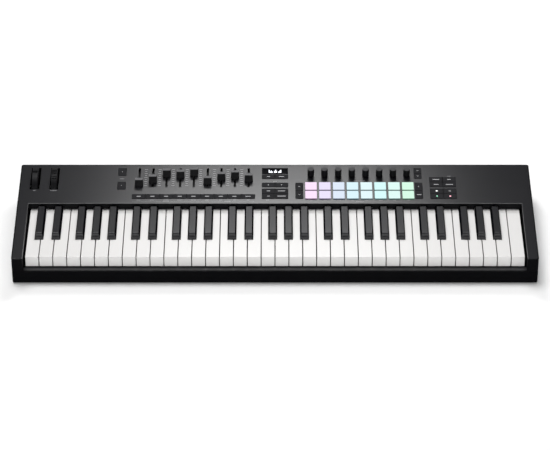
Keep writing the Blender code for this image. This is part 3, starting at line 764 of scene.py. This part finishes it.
def knob(name):
    """A fluted endless knob with a satin top and its shaft."""
    middle = (KNOB_LOW + KNOB_TOP) / 2
    piece = drum(name, (0.0, 0.0, middle), KNOB_RADIUS, KNOB_TOP - KNOB_LOW, KNOB_SIDES)
    step = 2 * pi / KNOB_SIDES

    def flute(p):
        return abs(p.z - middle) < 1.0 * MM and round((atan2(p.y, p.x) % (2 * pi)) / step - 0.5) % 2 == 0

    bevel(piece, lambda p: near(p.z, KNOB_TOP), 1.0 * MM, 4)
    bevel(piece, lambda p: near(p.z, KNOB_LOW), 0.4 * MM, 2)
    inset(piece, flute, (0.1 * MM, -0.22 * MM), by_middle=True, singly=True)
    inset(piece, lambda p: p.z > KNOB_TOP - 0.02 * MM, (0.6 * MM, -0.12 * MM))
    shaft = drum("shaft", (0.0, 0.0, -2.4 * MM), 3.0 * MM, 7.2 * MM, 24)
    return join([piece, shaft], name)


def build_knobs(finishes):
    nodes = [f"knob_{i + 1}" for i in range(8)]
    finish = [finishes["rubber"], finishes["knob_top"]]
    stand_on(knob("model_knob"), nodes, "knob_top", finish, KNOB_PAINTED, 30.0)


def wheel(name, node, narrowing):
    """A wheel with rounded rims, its bore and grooves across its rim."""
    low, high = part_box(node)
    middle = (low + high) / 2
    radius = (high.z - low.z) / 2
    width = high.x - low.x - 2 * narrowing
    along_x = (0.0, pi / 2, 0.0)
    piece = drum(name, middle, radius, width, WHEEL_SIDES, along_x)
    bevel(piece, lambda p: near(abs(p.x - middle.x), width / 2), 0.8 * MM)
    cut(piece, drum("bore", middle, WHEEL_BORE, 0.1, 24, along_x))
    step = 2 * pi / WHEEL_SIDES
    wanted = {round(radians(angle) / step - 0.5) for angle in WHEEL_GROOVES[node]}

    def in_groove(p):
        turn = atan2(middle.y - p.y, p.z - middle.z)
        on_rim = abs(p.x - middle.x) < 1.0 * MM and (p - middle).length > 0.9 * radius
        return on_rim and round(turn / step - 0.5) in wanted

    inset(piece, in_groove, (0.25 * MM, -0.9 * MM), by_middle=True, singly=True)
    return piece


def build_wheels(finishes, sizes):
    for node in WHEEL_GROOVES:
        piece = wheel(node.replace("wheel", "rim"), node, sizes.wheel_gap)
        settle(piece, finishes["wheel"], node, "control", node, angle=30.0)


def build_pads(finishes):
    """Sixteen lit pads on their silicone sheet."""
    low, high = flat_box("pad_sheet")
    half, top = PAD_HALF, high.z
    model = block("model_pad", (-half.x, -half.y, -PAD_DEPTH), (half.x, half.y, top))
    bevel(model, lambda p: near(abs(p.x), half.x) and near(abs(p.y), half.y), 1.3 * MM, 4, by_middle=True)
    bevel(model, lambda p: near(p.z, top), 0.6 * MM)
    left = low.x + SHEET_EDGE + half.x
    pitch = (high.x - low.x - 2 * (SHEET_EDGE + half.x)) / 7
    rows = (low.y + SHEET_EDGE + half.y, high.y - SHEET_EDGE - half.y)
    for column in range(8):
        finish = [finishes[f"pad_{column + 1}"], finishes[f"pad_skirt_{column + 1}"]]
        for row, y in enumerate(rows):
            pad = copy_of(model, f"pad_{row + 1}_{column + 1}", (left + column * pitch, y, 0.0))
            settle(pad, finish, "pad_sheet", "pad", "pad_sheet")
            paint_faces(pad, 1, lambda p: p.z < top - 0.25 * MM)
            lay_on_panel(pad)
    discard(model)
    sheet = block("pad_carrier", (low.x, low.y, low.z), (high.x, high.y, 0.1 * MM - PAD_DEPTH))
    bevel(sheet, lambda p: True, 0.3 * MM, 2)
    settle(sheet, finishes["felt"], "pad_sheet", "pad")
    lay_on_panel(sheet)


def button_cells(node):
    """Each button of a block: its column, its row from the front, and its corners in the panel's frame."""
    low, high = cap_outline(node)
    columns, rows = BUTTON_GRIDS[node]
    width, depth = (high.x - low.x) / columns, (high.y - low.y) / rows
    for column in range(columns):
        for row in range(rows):
            x = low.x + column * width
            y = low.y + row * depth
            gaps = [BUTTON_SPLIT / 2 if inner else BUTTON_EDGE
                    for inner in (column, column < columns - 1, row, row < rows - 1)]
            start = Vector((x + gaps[0], y + gaps[2]))
            yield column, row, start, Vector((x + width - gaps[1], y + depth - gaps[3]))


def build_buttons(finishes):
    """One soft button for each cell; a block's outer corners are rounder than the corners inside it."""
    for node in BUTTON_GRIDS:
        low, high = cap_outline(node)
        top = high.z
        for column, row, start, end in button_cells(node):
            piece = block(f"{node}_{column + 1}_{row + 1}", (*start, -BUTTON_DEPTH), (*end, top))
            for x in (start.x, end.x):
                for y in (start.y, end.y):
                    to_side = min(abs(x - low.x), abs(x - high.x))
                    to_end = min(abs(y - low.y), abs(y - high.y))
                    outer = max(to_side, to_end) < 0.3 * MM
                    bevel(piece, lambda p: near(p.x, x) and near(p.y, y), (1.2 if outer else 0.3) * MM,
                          4 if outer else 2)
            bevel(piece, lambda p: near(p.z, top), 0.22 * MM, 2)
            settle(piece, finishes["button"], node, "button", node)
            lay_on_panel(piece)


def build_display(finishes):
    """A glossy window with a small bar chart behind it."""
    low, high = flat_box("display_window")
    glass = block("display_glass", low, high)
    bevel(glass, lambda p: near(p.z, high.z), 0.3 * MM, 2)
    settle(glass, finishes["window"], "root", "window", "display_window")
    lay_on_panel(glass)
    middle = (low + high) / 2
    left = middle.x - (len(CHART_HEIGHTS) * CHART_PITCH - CHART_PITCH + CHART_WIDTH) / 2
    foot = middle.y - CHART_FOOT
    dots = []
    for column, height in enumerate(CHART_HEIGHTS):
        if height:
            x = left + column * CHART_PITCH
            dot = block("dot", (x, foot, high.z - MARK), (x + CHART_WIDTH, foot + height * MM, high.z + MARK))
            bevel(dot, lambda p: p.z > high.z, 0.4 * MARK, 1)
            dots.append(dot)
    lay_print(dots, "display_chart", finishes["screen_glow"], "root", "window")


# Printed marks


def print_bar(x, y, width, height, z=0.0):
    """A round-ended bar of print, by its middle."""
    bar = block("bar", (x - width / 2, y - height / 2, z - MARK), (x + width / 2, y + height / 2, z + MARK))
    bevel(bar, lambda p: near(p.z, z), 0.45 * min(width, height), 2, by_middle=True)
    return bar


def print_disc(x, y, radius, z, sides=24, turn=0.0):
    disc = drum("disc", (x, y, z), radius, 2 * MARK, sides, (0.0, 0.0, turn))
    bevel(disc, lambda p: p.z > z, 0.4 * MARK, 1)
    return disc


def print_chevron(x, y, size, z, turn):
    """An open arrow head; turn 0 points up the panel."""
    arms = []
    for side in (-1, 1):
        arm = print_bar(0.0, 0.0, size, 0.28 * size, z)
        arm.data.transform(Matrix.Rotation(-side * pi / 4, 4, "Z"))
        arm.data.transform(Matrix.Translation((side * 0.32 * size, 0.0, 0.0)))
        arms.append(arm)
    made = join(arms, "chevron")
    made.data.transform(Matrix.Translation((x, y, 0.0)) @ Matrix.Rotation(turn, 4, "Z"))
    return made


def print_ring(x, y, radius, z):
    """A ring of print with a gap, for the loop button."""
    outer = print_disc(x, y, radius, z, 32)
    cut(outer, drum("hole", (x, y, z), 0.68 * radius, 8 * MARK, 32))
    return cut(outer, block("gap", (x, y, z - 4 * MARK), (x + 2 * radius, y + 0.5 * radius, z + 4 * MARK)))


def lay_print(pieces, name, finish, body, slot):
    made = join(pieces, name)
    settle(made, finish, body, slot)
    lay_on_panel(made)
    return made


def build_scales(finishes):
    """Ticks in each space between two faders, long and short by turns."""
    boxes = [flat_box(f"fader_cap_{i + 1}") for i in range(9)]
    centres = [(low.x + high.x) / 2 for low, high in boxes]
    ticks = []
    for left, right in zip(centres, centres[1:]):
        x = (left + right) / 2 - 0.5 * MM
        for i in range(TICKS):
            length = (3.6 if i % 2 else 5.6) * MM
            ticks.append(print_bar(x, SCALE_REAR - i * TICK_PITCH, length, 0.9 * MM))
    lay_print(ticks, "fader_scales", finishes["scale_print"], "root", "case")


def button_middles(node):
    top = cap_outline(node)[1].z
    return {(column, row): ((start + end) / 2, top) for column, row, start, end in button_cells(node)}


def build_button_marks(finishes):
    """The small lights, symbols and plain bars on the buttons."""
    strip = button_middles("fader_buttons")
    lamps = [print_bar(*strip[i, 0][0], 7.4 * MM, 2.0 * MM, strip[i, 0][1]) for i in range(8)]
    lay_print(lamps, "fader_button_lamps", finishes["lamp_bar"], "fader_buttons", "button")
    last, top = strip[8, 0]
    arm_bar = print_bar(last.x, last.y, 9.0 * MM, 0.9 * MM, top)
    lay_print([arm_bar], "arm_button_bar", finishes["button_print"], "fader_buttons", "button")
    for node, length in (("octave_up_button", 1.32 * MM), ("octave_down_button", 1.1 * MM)):
        place, top = button_middles(node)[0, 0]
        cross = [print_bar(*place, length, 0.6 * MM, top)]
        if node == "octave_up_button":
            cross.append(print_bar(*place, 0.6 * MM, length, top))
        lay_print(cross, node + "_mark", finishes["button_print"], node, "button")
    widths = {
        "display_buttons": {(0, 0): 5.4, (1, 0): 9.0},
        "function_buttons": {(0, 1): 6.0, (1, 1): 12.5, (0, 0): 4.6, (1, 0): 14.5},
        "edit_buttons": {(0, 1): 11.5, (1, 1): 6.0, (0, 0): 9.0, (1, 0): 12.5},
        "pad_side_buttons": {(0, 0): 7.6},
    }
    for node, cells in widths.items():
        places = button_middles(node)
        bars = [print_bar(*places[cell][0], width * MM, 1.0 * MM, places[cell][1])
                for cell, width in cells.items()]
        lay_print(bars, node.replace("buttons", "button_bars"), finishes["button_print"], node, "button")
    arrows = {
        "track_buttons": {(0, 0): pi / 2, (1, 0): -pi / 2},
        "pad_bank_buttons": {(0, 1): 0.0, (0, 0): pi},
        "encoder_bank_buttons": {(0, 1): 0.0, (0, 0): pi},
        "pad_side_buttons": {(0, 1): -pi / 2},
    }
    for node, cells in arrows.items():
        places = button_middles(node)
        marks = []
        for cell, turn in cells.items():
            place, top = places[cell]
            if node == "track_buttons":
                marks.append(print_disc(*place, 1.5 * MM, top, 3, turn))
            else:
                marks.append(print_chevron(*place, 2.3 * MM, top, turn))
        lay_print(marks, node.replace("buttons", "button_arrows"), finishes["print"], node, "button")
    node = "transport_buttons"
    places = button_middles(node)
    signs = (
        ("capture_lamp", (0, 1), "lamp_white", lambda p, z: print_bar(*p, 3.6 * MM, 2.6 * MM, z)),
        ("loop_sign", (1, 1), "print", lambda p, z: print_ring(*p, 1.9 * MM, z)),
        ("play_lamp", (0, 0), "lamp_green", lambda p, z: print_disc(*p, 1.9 * MM, z, 3, -pi / 6)),
        ("record_lamp", (1, 0), "lamp_red", lambda p, z: print_disc(*p, 1.6 * MM, z)),
    )
    for name, cell, finish, draw in signs:
        place, top = places[cell]
        lay_print([draw(place, top)], name, finishes[finish], node, "button")


def build_legends(finishes):
    """Plain bars and thin lines where the panel carries words."""
    marks = []

    def mark(x, y, width, height=0.9):
        marks.append(print_bar(x, y, width, height * MM))

    wheels = [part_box(node) for node in ("pitch_wheel", "modulation_wheel")]
    label_y = flat_y(56.0)
    for (low, high), width in zip(wheels, (5.2, 11.5)):
        mark((low.x + high.x) / 2, label_y, width * MM)
    octave = (cap_outline("octave_up_button")[0] + cap_outline("octave_down_button")[1]) / 2
    mark(octave.x, octave.y, 7.6 * MM)
    strip = button_middles("fader_buttons")
    strip_y = strip[0, 0][0].y
    for column, width in enumerate((6.6, 8.2, 8.2, 8.6, 8.4, 5.8, 5.6, 4.4, 5.0)):
        mark(strip[column, 0][0].x, strip_y - 9.6 * MM, width * MM, 0.7)
    low, high = cap_outline("fader_buttons")
    cell = (high.x - low.x) / 9
    group_y = strip_y - 13.0 * MM
    for first, last in ((0, 5), (5, 9)):
        start, end = low.x + (first + 0.05) * cell, low.x + (last - 0.05) * cell
        middle = (start + end) / 2
        mark(middle, group_y, 11.0 * MM)
        for a, b in ((start, middle - 7.5 * MM), (middle + 7.5 * MM, end)):
            mark((a + b) / 2, group_y, b - a, 0.22)
    low, high = cap_outline("track_buttons")
    middle = (low + high) / 2
    mark(middle.x, high.y + 3.3 * MM, 7.0 * MM)
    for side in (-1, 1):
        mark(middle.x + side * 13.5 * MM, high.y + 3.3 * MM, 15.0 * MM, 0.22)
    low, high = cap_outline("function_buttons")
    mark(low.x + 9.5 * MM, low.y - 3.2 * MM, 6.0 * MM, 0.8)
    low, high = cap_outline("edit_buttons")
    mark(high.x - 11.0 * MM, high.y + 3.0 * MM, 6.0 * MM)
    low, high = flat_box("pad_sheet")
    middle = (low.x + high.x) / 2
    mark(middle, high.y + 5.0 * MM, 20.0 * MM, 0.8)
    mark(middle, low.y - 6.0 * MM, 14.0 * MM, 0.8)
    for i in range(8):
        x = low.x + 11.0 * MM + i * 24.06 * MM
        mark(x, low.y - 2.0 * MM, (5.0 + i % 3) * MM, 0.6)
    lay_print(marks, "panel_legends", finishes["scale_print"], "root", "case")


def flat_y(world_mm):
    """A place on the panel, in its own frame, from its distance behind the middle of the case."""
    return world_mm * MM / cos(SLOPE)


# Rear and underside


def build_rear(finishes):
    build_usb_socket(finishes)
    build_pedal_jack(finishes)
    low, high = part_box("pedal_jack")
    middle = (low + high) / 2
    marks = []
    for x, half in ((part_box("usb_socket")[0].x + 4.8 * MM, 3.0 * MM), (middle.x, 4.5 * MM)):
        bar = block("bar", (x - half, CASE_HIGH.y - MARK, middle.z + 9.0 * MM),
                    (x + half, CASE_HIGH.y + MARK, middle.z + 10.0 * MM))
        bevel(bar, lambda p: p.y > CASE_HIGH.y, 0.4 * MARK, 1)
        marks.append(bar)
    settle(join(marks, "rear_legends"), finishes["print"], "root", "case")


def build_usb_socket(finishes):
    """A rounded metal shell, open at the rear, with its tongue and eight contacts."""
    low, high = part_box("usb_socket")
    middle = (low + high) / 2
    shell = block("usb_shell", low, high)
    bevel(shell, lambda p: near(p.y, middle.y), 0.45 * (high.z - low.z), 5, by_middle=True)
    inset(shell, lambda p: near(p.y, high.y), (0.35 * MM, 0.0), (0.02 * MM, -6.5 * MM))
    settle(shell, finishes["metal"], "root", "metal", "usb_socket")
    tongue = block("usb_tongue", (middle.x - 3.2 * MM, high.y - 6.6 * MM, middle.z - 0.35 * MM),
                   (middle.x + 3.2 * MM, high.y - 1.2 * MM, middle.z + 0.35 * MM))
    bevel(tongue, lambda p: True, 0.12 * MM, 2)
    settle(tongue, finishes["rubber"], "root", "metal")
    contacts = []
    for i in range(8):
        x = middle.x + (i - 3.5) * 0.7 * MM
        contact = block("contact", (x - 0.12 * MM, high.y - 5.0 * MM, middle.z + 0.3 * MM),
                        (x + 0.12 * MM, high.y - 1.5 * MM, middle.z + 0.39 * MM))
        bevel(contact, lambda p: p.z > middle.z + 0.35 * MM, 0.02 * MM, 1)
        contacts.append(contact)
    settle(join(contacts, "usb_contacts"), finishes["brass"], "root", "metal")


def build_pedal_jack(finishes):
    """A bored sleeve with a metal ring round its mouth."""
    low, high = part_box("pedal_jack")
    middle = (low + high) / 2
    face = (middle.x, high.y, middle.z)
    along_y = (pi / 2, 0.0, 0.0)
    sleeve = drum("jack_sleeve", middle, (high.x - low.x) / 2, high.y - low.y, 48, along_y)
    cut(sleeve, drum("bore", face, 3.3 * MM, 56.0 * MM, 32, along_y))
    soften(sleeve, 0.3 * MM)
    settle(sleeve, finishes["rubber"], "root", "control", "pedal_jack")
    ring = drum("jack_ring", (middle.x, high.y - 0.6 * MM, middle.z), 4.6 * MM, 1.6 * MM, 48, along_y)
    cut(ring, drum("bore", face, 3.25 * MM, 10.0 * MM, 32, along_y))
    soften(ring, 0.2 * MM)
    settle(ring, finishes["metal"], "root", "control")


def build_underside(finishes):
    """Turned rubber feet, cross-head screws and a blank plate."""
    for i in range(4):
        node = f"foot_{i + 1}"
        low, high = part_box(node)
        foot = drum(f"rubber_{node}", (low + high) / 2, (high.x - low.x) / 2, high.z - low.z, 48)
        bevel(foot, lambda p: near(p.z, low.z), 0.8 * MM)
        inset(foot, lambda p: near(p.z, low.z), (2.0 * MM, 0.0), (0.5 * MM, -0.5 * MM), (0.5 * MM, 0.5 * MM))
        settle(foot, finishes["foot"], "root", "rubber", node)
    floor_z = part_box("bottom_case")[0].z
    model = drum("model_screw", (0.0, 0.0, floor_z + 0.3 * MM), SCREW_RADIUS, 1.0 * MM, 32)
    bevel(model, lambda p: p.z < floor_z, 0.35 * MM)
    for x, y in ((2.0 * MM, 0.45 * MM), (0.45 * MM, 2.0 * MM)):
        cut(model, block("slot", (-x, -y, floor_z - 1.0 * MM), (x, y, floor_z)))
    places = [(x * MM, y * MM, 0.0) for y in SCREW_ROWS for x in SCREW_COLUMNS]
    for i, place in enumerate(places):
        settle(copy_of(model, f"case_screw_{i + 1}", place), finishes["steel"], "root", "tray")
    discard(model)
    plate = block("rating_plate", (-35.0 * MM, 30.0 * MM, floor_z - 0.15 * MM),
                  (35.0 * MM, 60.0 * MM, floor_z + 0.05 * MM))
    bevel(plate, lambda p: near(p.z, floor_z, 0.2 * MM), 2.0 * MM, 4, by_middle=True)
    settle(plate, finishes["cap_top"], "root", "tray")


# Stage


def wire_sky(world, strength):
    """Pale along the horizon, dark above and below it."""
    world.use_nodes = True
    nodes, links = world.node_tree.nodes, world.node_tree.links
    place = nodes.new("ShaderNodeTexCoord")
    split = nodes.new("ShaderNodeSeparateXYZ")
    lift = nodes.new("ShaderNodeMapRange")
    lift.inputs["From Min"].default_value = -1.0
    ramp = nodes.new("ShaderNodeValToRGB")
    stops = ramp.color_ramp.elements
    ends = {-1.0: stops[0], 1.0: stops[1]}
    for height, level in SKY_LEVELS:
        if height in ends:
            ends[height].color = (level, level, level, 1.0)
    for height, level in SKY_LEVELS:
        if height not in ends:
            stops.new((height + 1.0) / 2.0).color = (level, level, level, 1.0)
    links.new(place.outputs["Generated"], split.inputs["Vector"])
    links.new(split.outputs["Z"], lift.inputs["Value"])
    links.new(lift.outputs["Result"], ramp.inputs["Fac"])
    links.new(ramp.outputs["Color"], nodes["Background"].inputs["Color"])
    nodes["Background"].inputs["Strength"].default_value = strength


def build_floor():
    """A pale floor that glows a little more with its distance from the object."""
    only(None)
    bpy.ops.mesh.primitive_plane_add(size=400.0, location=(0.0, 0.0, -0.1 * MM))
    floor = named("floor")
    white = (0.95, 0.95, 0.95)
    pale = Finish("floor_paper", white, 0.9, 0.0, Emission_Color=(*white, 1.0))
    reach = pale.node("ShaderNodeVectorMath", operation="LENGTH")
    pale.links.new(pale.coordinates(), reach.inputs[0])
    pale.spread(reach.outputs["Value"], FLOOR_GLOW, "Emission Strength")
    floor.data.materials.append(pale.mottle(3.0, (0.945,) * 3, (0.955,) * 3).material)
    floor.visible_glossy = False


def hang_light(name, kind, power, place, *size):
    """A light that faces the object and isn't seen itself; an area light takes its width and height."""
    light = bpy.data.lights.new(name, kind)
    light.energy = power
    if kind == "AREA":
        light.shape = "RECTANGLE"
        light.size, light.size_y = size
    lamp = bpy.data.objects.new(name, light)
    lamp.location = place
    lamp.rotation_euler = (LIT_POINT - Vector(place)).to_track_quat("-Z", "Y").to_euler()
    lamp.visible_camera = False
    bpy.context.scene.collection.objects.link(lamp)
    return light


def build_stage(stage):
    """Pale floor, an even light from above, a softbox behind for the sheen on the panel, and the camera."""
    build_floor()
    scene = bpy.context.scene
    scene.world = bpy.data.worlds.new("studio")
    wire_sky(scene.world, stage.room_light)
    hang_light("overhead", "SUN", stage.overhead_light, OVERHEAD_PLACE).angle = radians(36.0)
    hang_light("rear_softbox", "AREA", stage.rear_light, REAR_PLACE, 0.55, 0.30)
    hang_light("front_softbox", "AREA", stage.front_light, FRONT_PLACE, 2.4, 1.0)
    camera = bpy.data.cameras.new("camera")
    camera.lens = CAMERA_LENS
    camera.sensor_width = 36.0
    camera.clip_end = 400.0
    view = bpy.data.objects.new("camera", camera)
    view.location = CAMERA_PLACE
    view.rotation_euler = (CAMERA_TILT, 0.0, 0.0)
    scene.collection.objects.link(view)
    scene.camera = view
    scene.view_settings.view_transform = "Standard"


# Add-on


def color_property(name, description, default):
    return bpy.props.FloatVectorProperty(
        name=name, description=description, default=default, subtype="COLOR", min=0.0, max=1.0
    )


def number_property(name, description, default, unit="NONE"):
    return bpy.props.FloatProperty(name=name, description=description, default=default, min=0.0, unit=unit)


class SynthesizerSizes(bpy.types.PropertyGroup):
    case_edge: number_property("Case edge", "Rounding of the case's outer edge", 1.5 * MM, "LENGTH")
    recess_edge: number_property("Recess edge", "Rounding of the edge round the keys", 0.9 * MM, "LENGTH")
    key_edge: number_property("Key edge", "Rounding of the white keys' tops", 0.55 * MM, "LENGTH")
    wheel_gap: number_property("Wheel gap", "How much narrower each wheel is, per side", 0.9 * MM, "LENGTH")


class SynthesizerColors(bpy.types.PropertyGroup):
    case: color_property("Case", "Satin charcoal of the panel and arms", (0.004, 0.004, 0.006))
    white_keys: color_property("White keys", "Gloss plastic of the white keys", (0.77, 0.76, 0.75))
    black_keys: color_property("Black keys", "Satin plastic of the black keys", (0.005, 0.005, 0.007))
    buttons: color_property("Buttons", "Silicone of the button blocks", (0.015, 0.015, 0.017))
    pad_1: color_property("Pads 1", "Light of the first column of pads", (0.99, 0.78, 1.00))
    pad_2: color_property("Pads 2", "Light of the second column of pads", (0.84, 0.77, 0.99))
    pad_3: color_property("Pads 3", "Light of the third column of pads", (0.74, 0.83, 0.97))
    pad_4: color_property("Pads 4", "Light of the fourth column of pads", (0.72, 0.93, 1.00))
    pad_5: color_property("Pads 5", "Light of the fifth column of pads", (0.78, 0.97, 1.00))
    pad_6: color_property("Pads 6", "Light of the sixth column of pads", (0.69, 1.00, 1.00))
    pad_7: color_property("Pads 7", "Light of the seventh column of pads", (0.75, 1.00, 0.95))
    pad_8: color_property("Pads 8", "Light of the eighth column of pads", (0.69, 1.00, 0.81))
    pad_glow: number_property("Pad glow", "How strongly the pads shine", 0.46)


class SynthesizerStage(bpy.types.PropertyGroup):
    room_light: number_property("Room", "Strength of the pale light along the horizon", 1.0)
    overhead_light: number_property("Overhead", "Irradiance of the even light from above", 2.35)
    rear_light: number_property("Rear softbox", "Power of the softbox that shines on the panel", 7.2, "POWER")
    front_light: number_property("Front softbox", "Power of the softbox on the player's side", 31.0, "POWER")


class SYNTH_OT_case(bpy.types.Operator):
    """Model the top case and the tray"""

    bl_idname = "synth.case"
    bl_label = "Case"

    def execute(self, context):
        build_case(FINISHES, context.scene.synthesizer_sizes)
        return {"FINISHED"}


class SYNTH_OT_keys(bpy.types.Operator):
    """Model the sixty-one keys"""

    bl_idname = "synth.keys"
    bl_label = "Keys"

    def execute(self, context):
        build_keys(FINISHES, context.scene.synthesizer_sizes)
        return {"FINISHED"}


class SYNTH_OT_inside(bpy.types.Operator):
    """Model the key bars and finish the inner solids"""

    bl_idname = "synth.inside"
    bl_label = "Inside"

    def execute(self, context):
        comb_bars(FINISHES)
        dress_inside(FINISHES)
        return {"FINISHED"}


class SYNTH_OT_faders(bpy.types.Operator):
    """Model the nine fader caps and their scales"""

    bl_idname = "synth.faders"
    bl_label = "Faders"

    def execute(self, context):
        build_faders(FINISHES)
        build_scales(FINISHES)
        return {"FINISHED"}


class SYNTH_OT_knobs(bpy.types.Operator):
    """Model the eight endless knobs"""

    bl_idname = "synth.knobs"
    bl_label = "Knobs"

    def execute(self, context):
        build_knobs(FINISHES)
        return {"FINISHED"}


class SYNTH_OT_wheels(bpy.types.Operator):
    """Model the pitch and modulation wheels"""

    bl_idname = "synth.wheels"
    bl_label = "Wheels"

    def execute(self, context):
        build_wheels(FINISHES, context.scene.synthesizer_sizes)
        return {"FINISHED"}


class SYNTH_OT_pads(bpy.types.Operator):
    """Model the sixteen lit pads"""

    bl_idname = "synth.pads"
    bl_label = "Pads"

    def execute(self, context):
        build_pads(FINISHES)
        return {"FINISHED"}


class SYNTH_OT_buttons(bpy.types.Operator):
    """Model the buttons with their lights and symbols"""

    bl_idname = "synth.buttons"
    bl_label = "Buttons"

    def execute(self, context):
        build_buttons(FINISHES)
        build_button_marks(FINISHES)
        return {"FINISHED"}


class SYNTH_OT_display(bpy.types.Operator):
    """Model the display window and its picture"""

    bl_idname = "synth.display"
    bl_label = "Display"

    def execute(self, context):
        build_display(FINISHES)
        return {"FINISHED"}


class SYNTH_OT_legends(bpy.types.Operator):
    """Print the plain bars and lines on the panel"""

    bl_idname = "synth.legends"
    bl_label = "Legends"

    def execute(self, context):
        build_legends(FINISHES)
        return {"FINISHED"}


class SYNTH_OT_rear(bpy.types.Operator):
    """Model the sockets in the rear wall"""

    bl_idname = "synth.rear"
    bl_label = "Rear sockets"

    def execute(self, context):
        build_rear(FINISHES)
        return {"FINISHED"}


class SYNTH_OT_underside(bpy.types.Operator):
    """Model the feet, the screws and the plate"""

    bl_idname = "synth.underside"
    bl_label = "Underside"

    def execute(self, context):
        build_underside(FINISHES)
        return {"FINISHED"}


class SYNTH_OT_stage(bpy.types.Operator):
    """Set up the floor, lights and camera"""

    bl_idname = "synth.stage"
    bl_label = "Stage"

    def execute(self, context):
        build_stage(context.scene.synthesizer_stage)
        return {"FINISHED"}


class SYNTH_OT_finishes(bpy.types.Operator):
    """Make every finish from the chosen colours"""

    bl_idname = "synth.finishes"
    bl_label = "Finishes"

    def execute(self, context):
        FINISHES.update(make_finishes(context.scene.synthesizer_colors))
        return {"FINISHED"}


class SYNTH_PT_panel(bpy.types.Panel):
    """Buttons for each group of pieces"""

    bl_label = "Synthesizer"
    bl_space_type = "VIEW_3D"
    bl_region_type = "UI"
    bl_category = "Synthesizer"

    def draw(self, context):
        for step in STEPS:
            self.layout.operator(step.bl_idname)
        for label in GROUPS:
            group = getattr(context.scene, label)
            for name in group.__annotations__:
                self.layout.prop(group, name)


FINISHES = {}
STEPS = (SYNTH_OT_finishes, SYNTH_OT_stage, SYNTH_OT_case, SYNTH_OT_keys, SYNTH_OT_inside, SYNTH_OT_faders,
         SYNTH_OT_knobs, SYNTH_OT_wheels, SYNTH_OT_pads, SYNTH_OT_buttons, SYNTH_OT_display, SYNTH_OT_legends,
         SYNTH_OT_rear, SYNTH_OT_underside)
GROUPS = {
    "synthesizer_sizes": SynthesizerSizes,
    "synthesizer_colors": SynthesizerColors,
    "synthesizer_stage": SynthesizerStage,
}
CLASSES = (*GROUPS.values(), *STEPS, SYNTH_PT_panel)


def register():
    for each in CLASSES:
        bpy.utils.register_class(each)
    for label, group in GROUPS.items():
        setattr(bpy.types.Scene, label, bpy.props.PointerProperty(type=group))


def unregister():
    for label in GROUPS:
        delattr(bpy.types.Scene, label)
    for each in reversed(CLASSES):
        bpy.utils.unregister_class(each)


def main():
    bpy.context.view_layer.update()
    register()
    for step in STEPS:
        group, name = step.bl_idname.split(".")
        getattr(getattr(bpy.ops, group), name)()


if __name__ == "__main__":
    main()
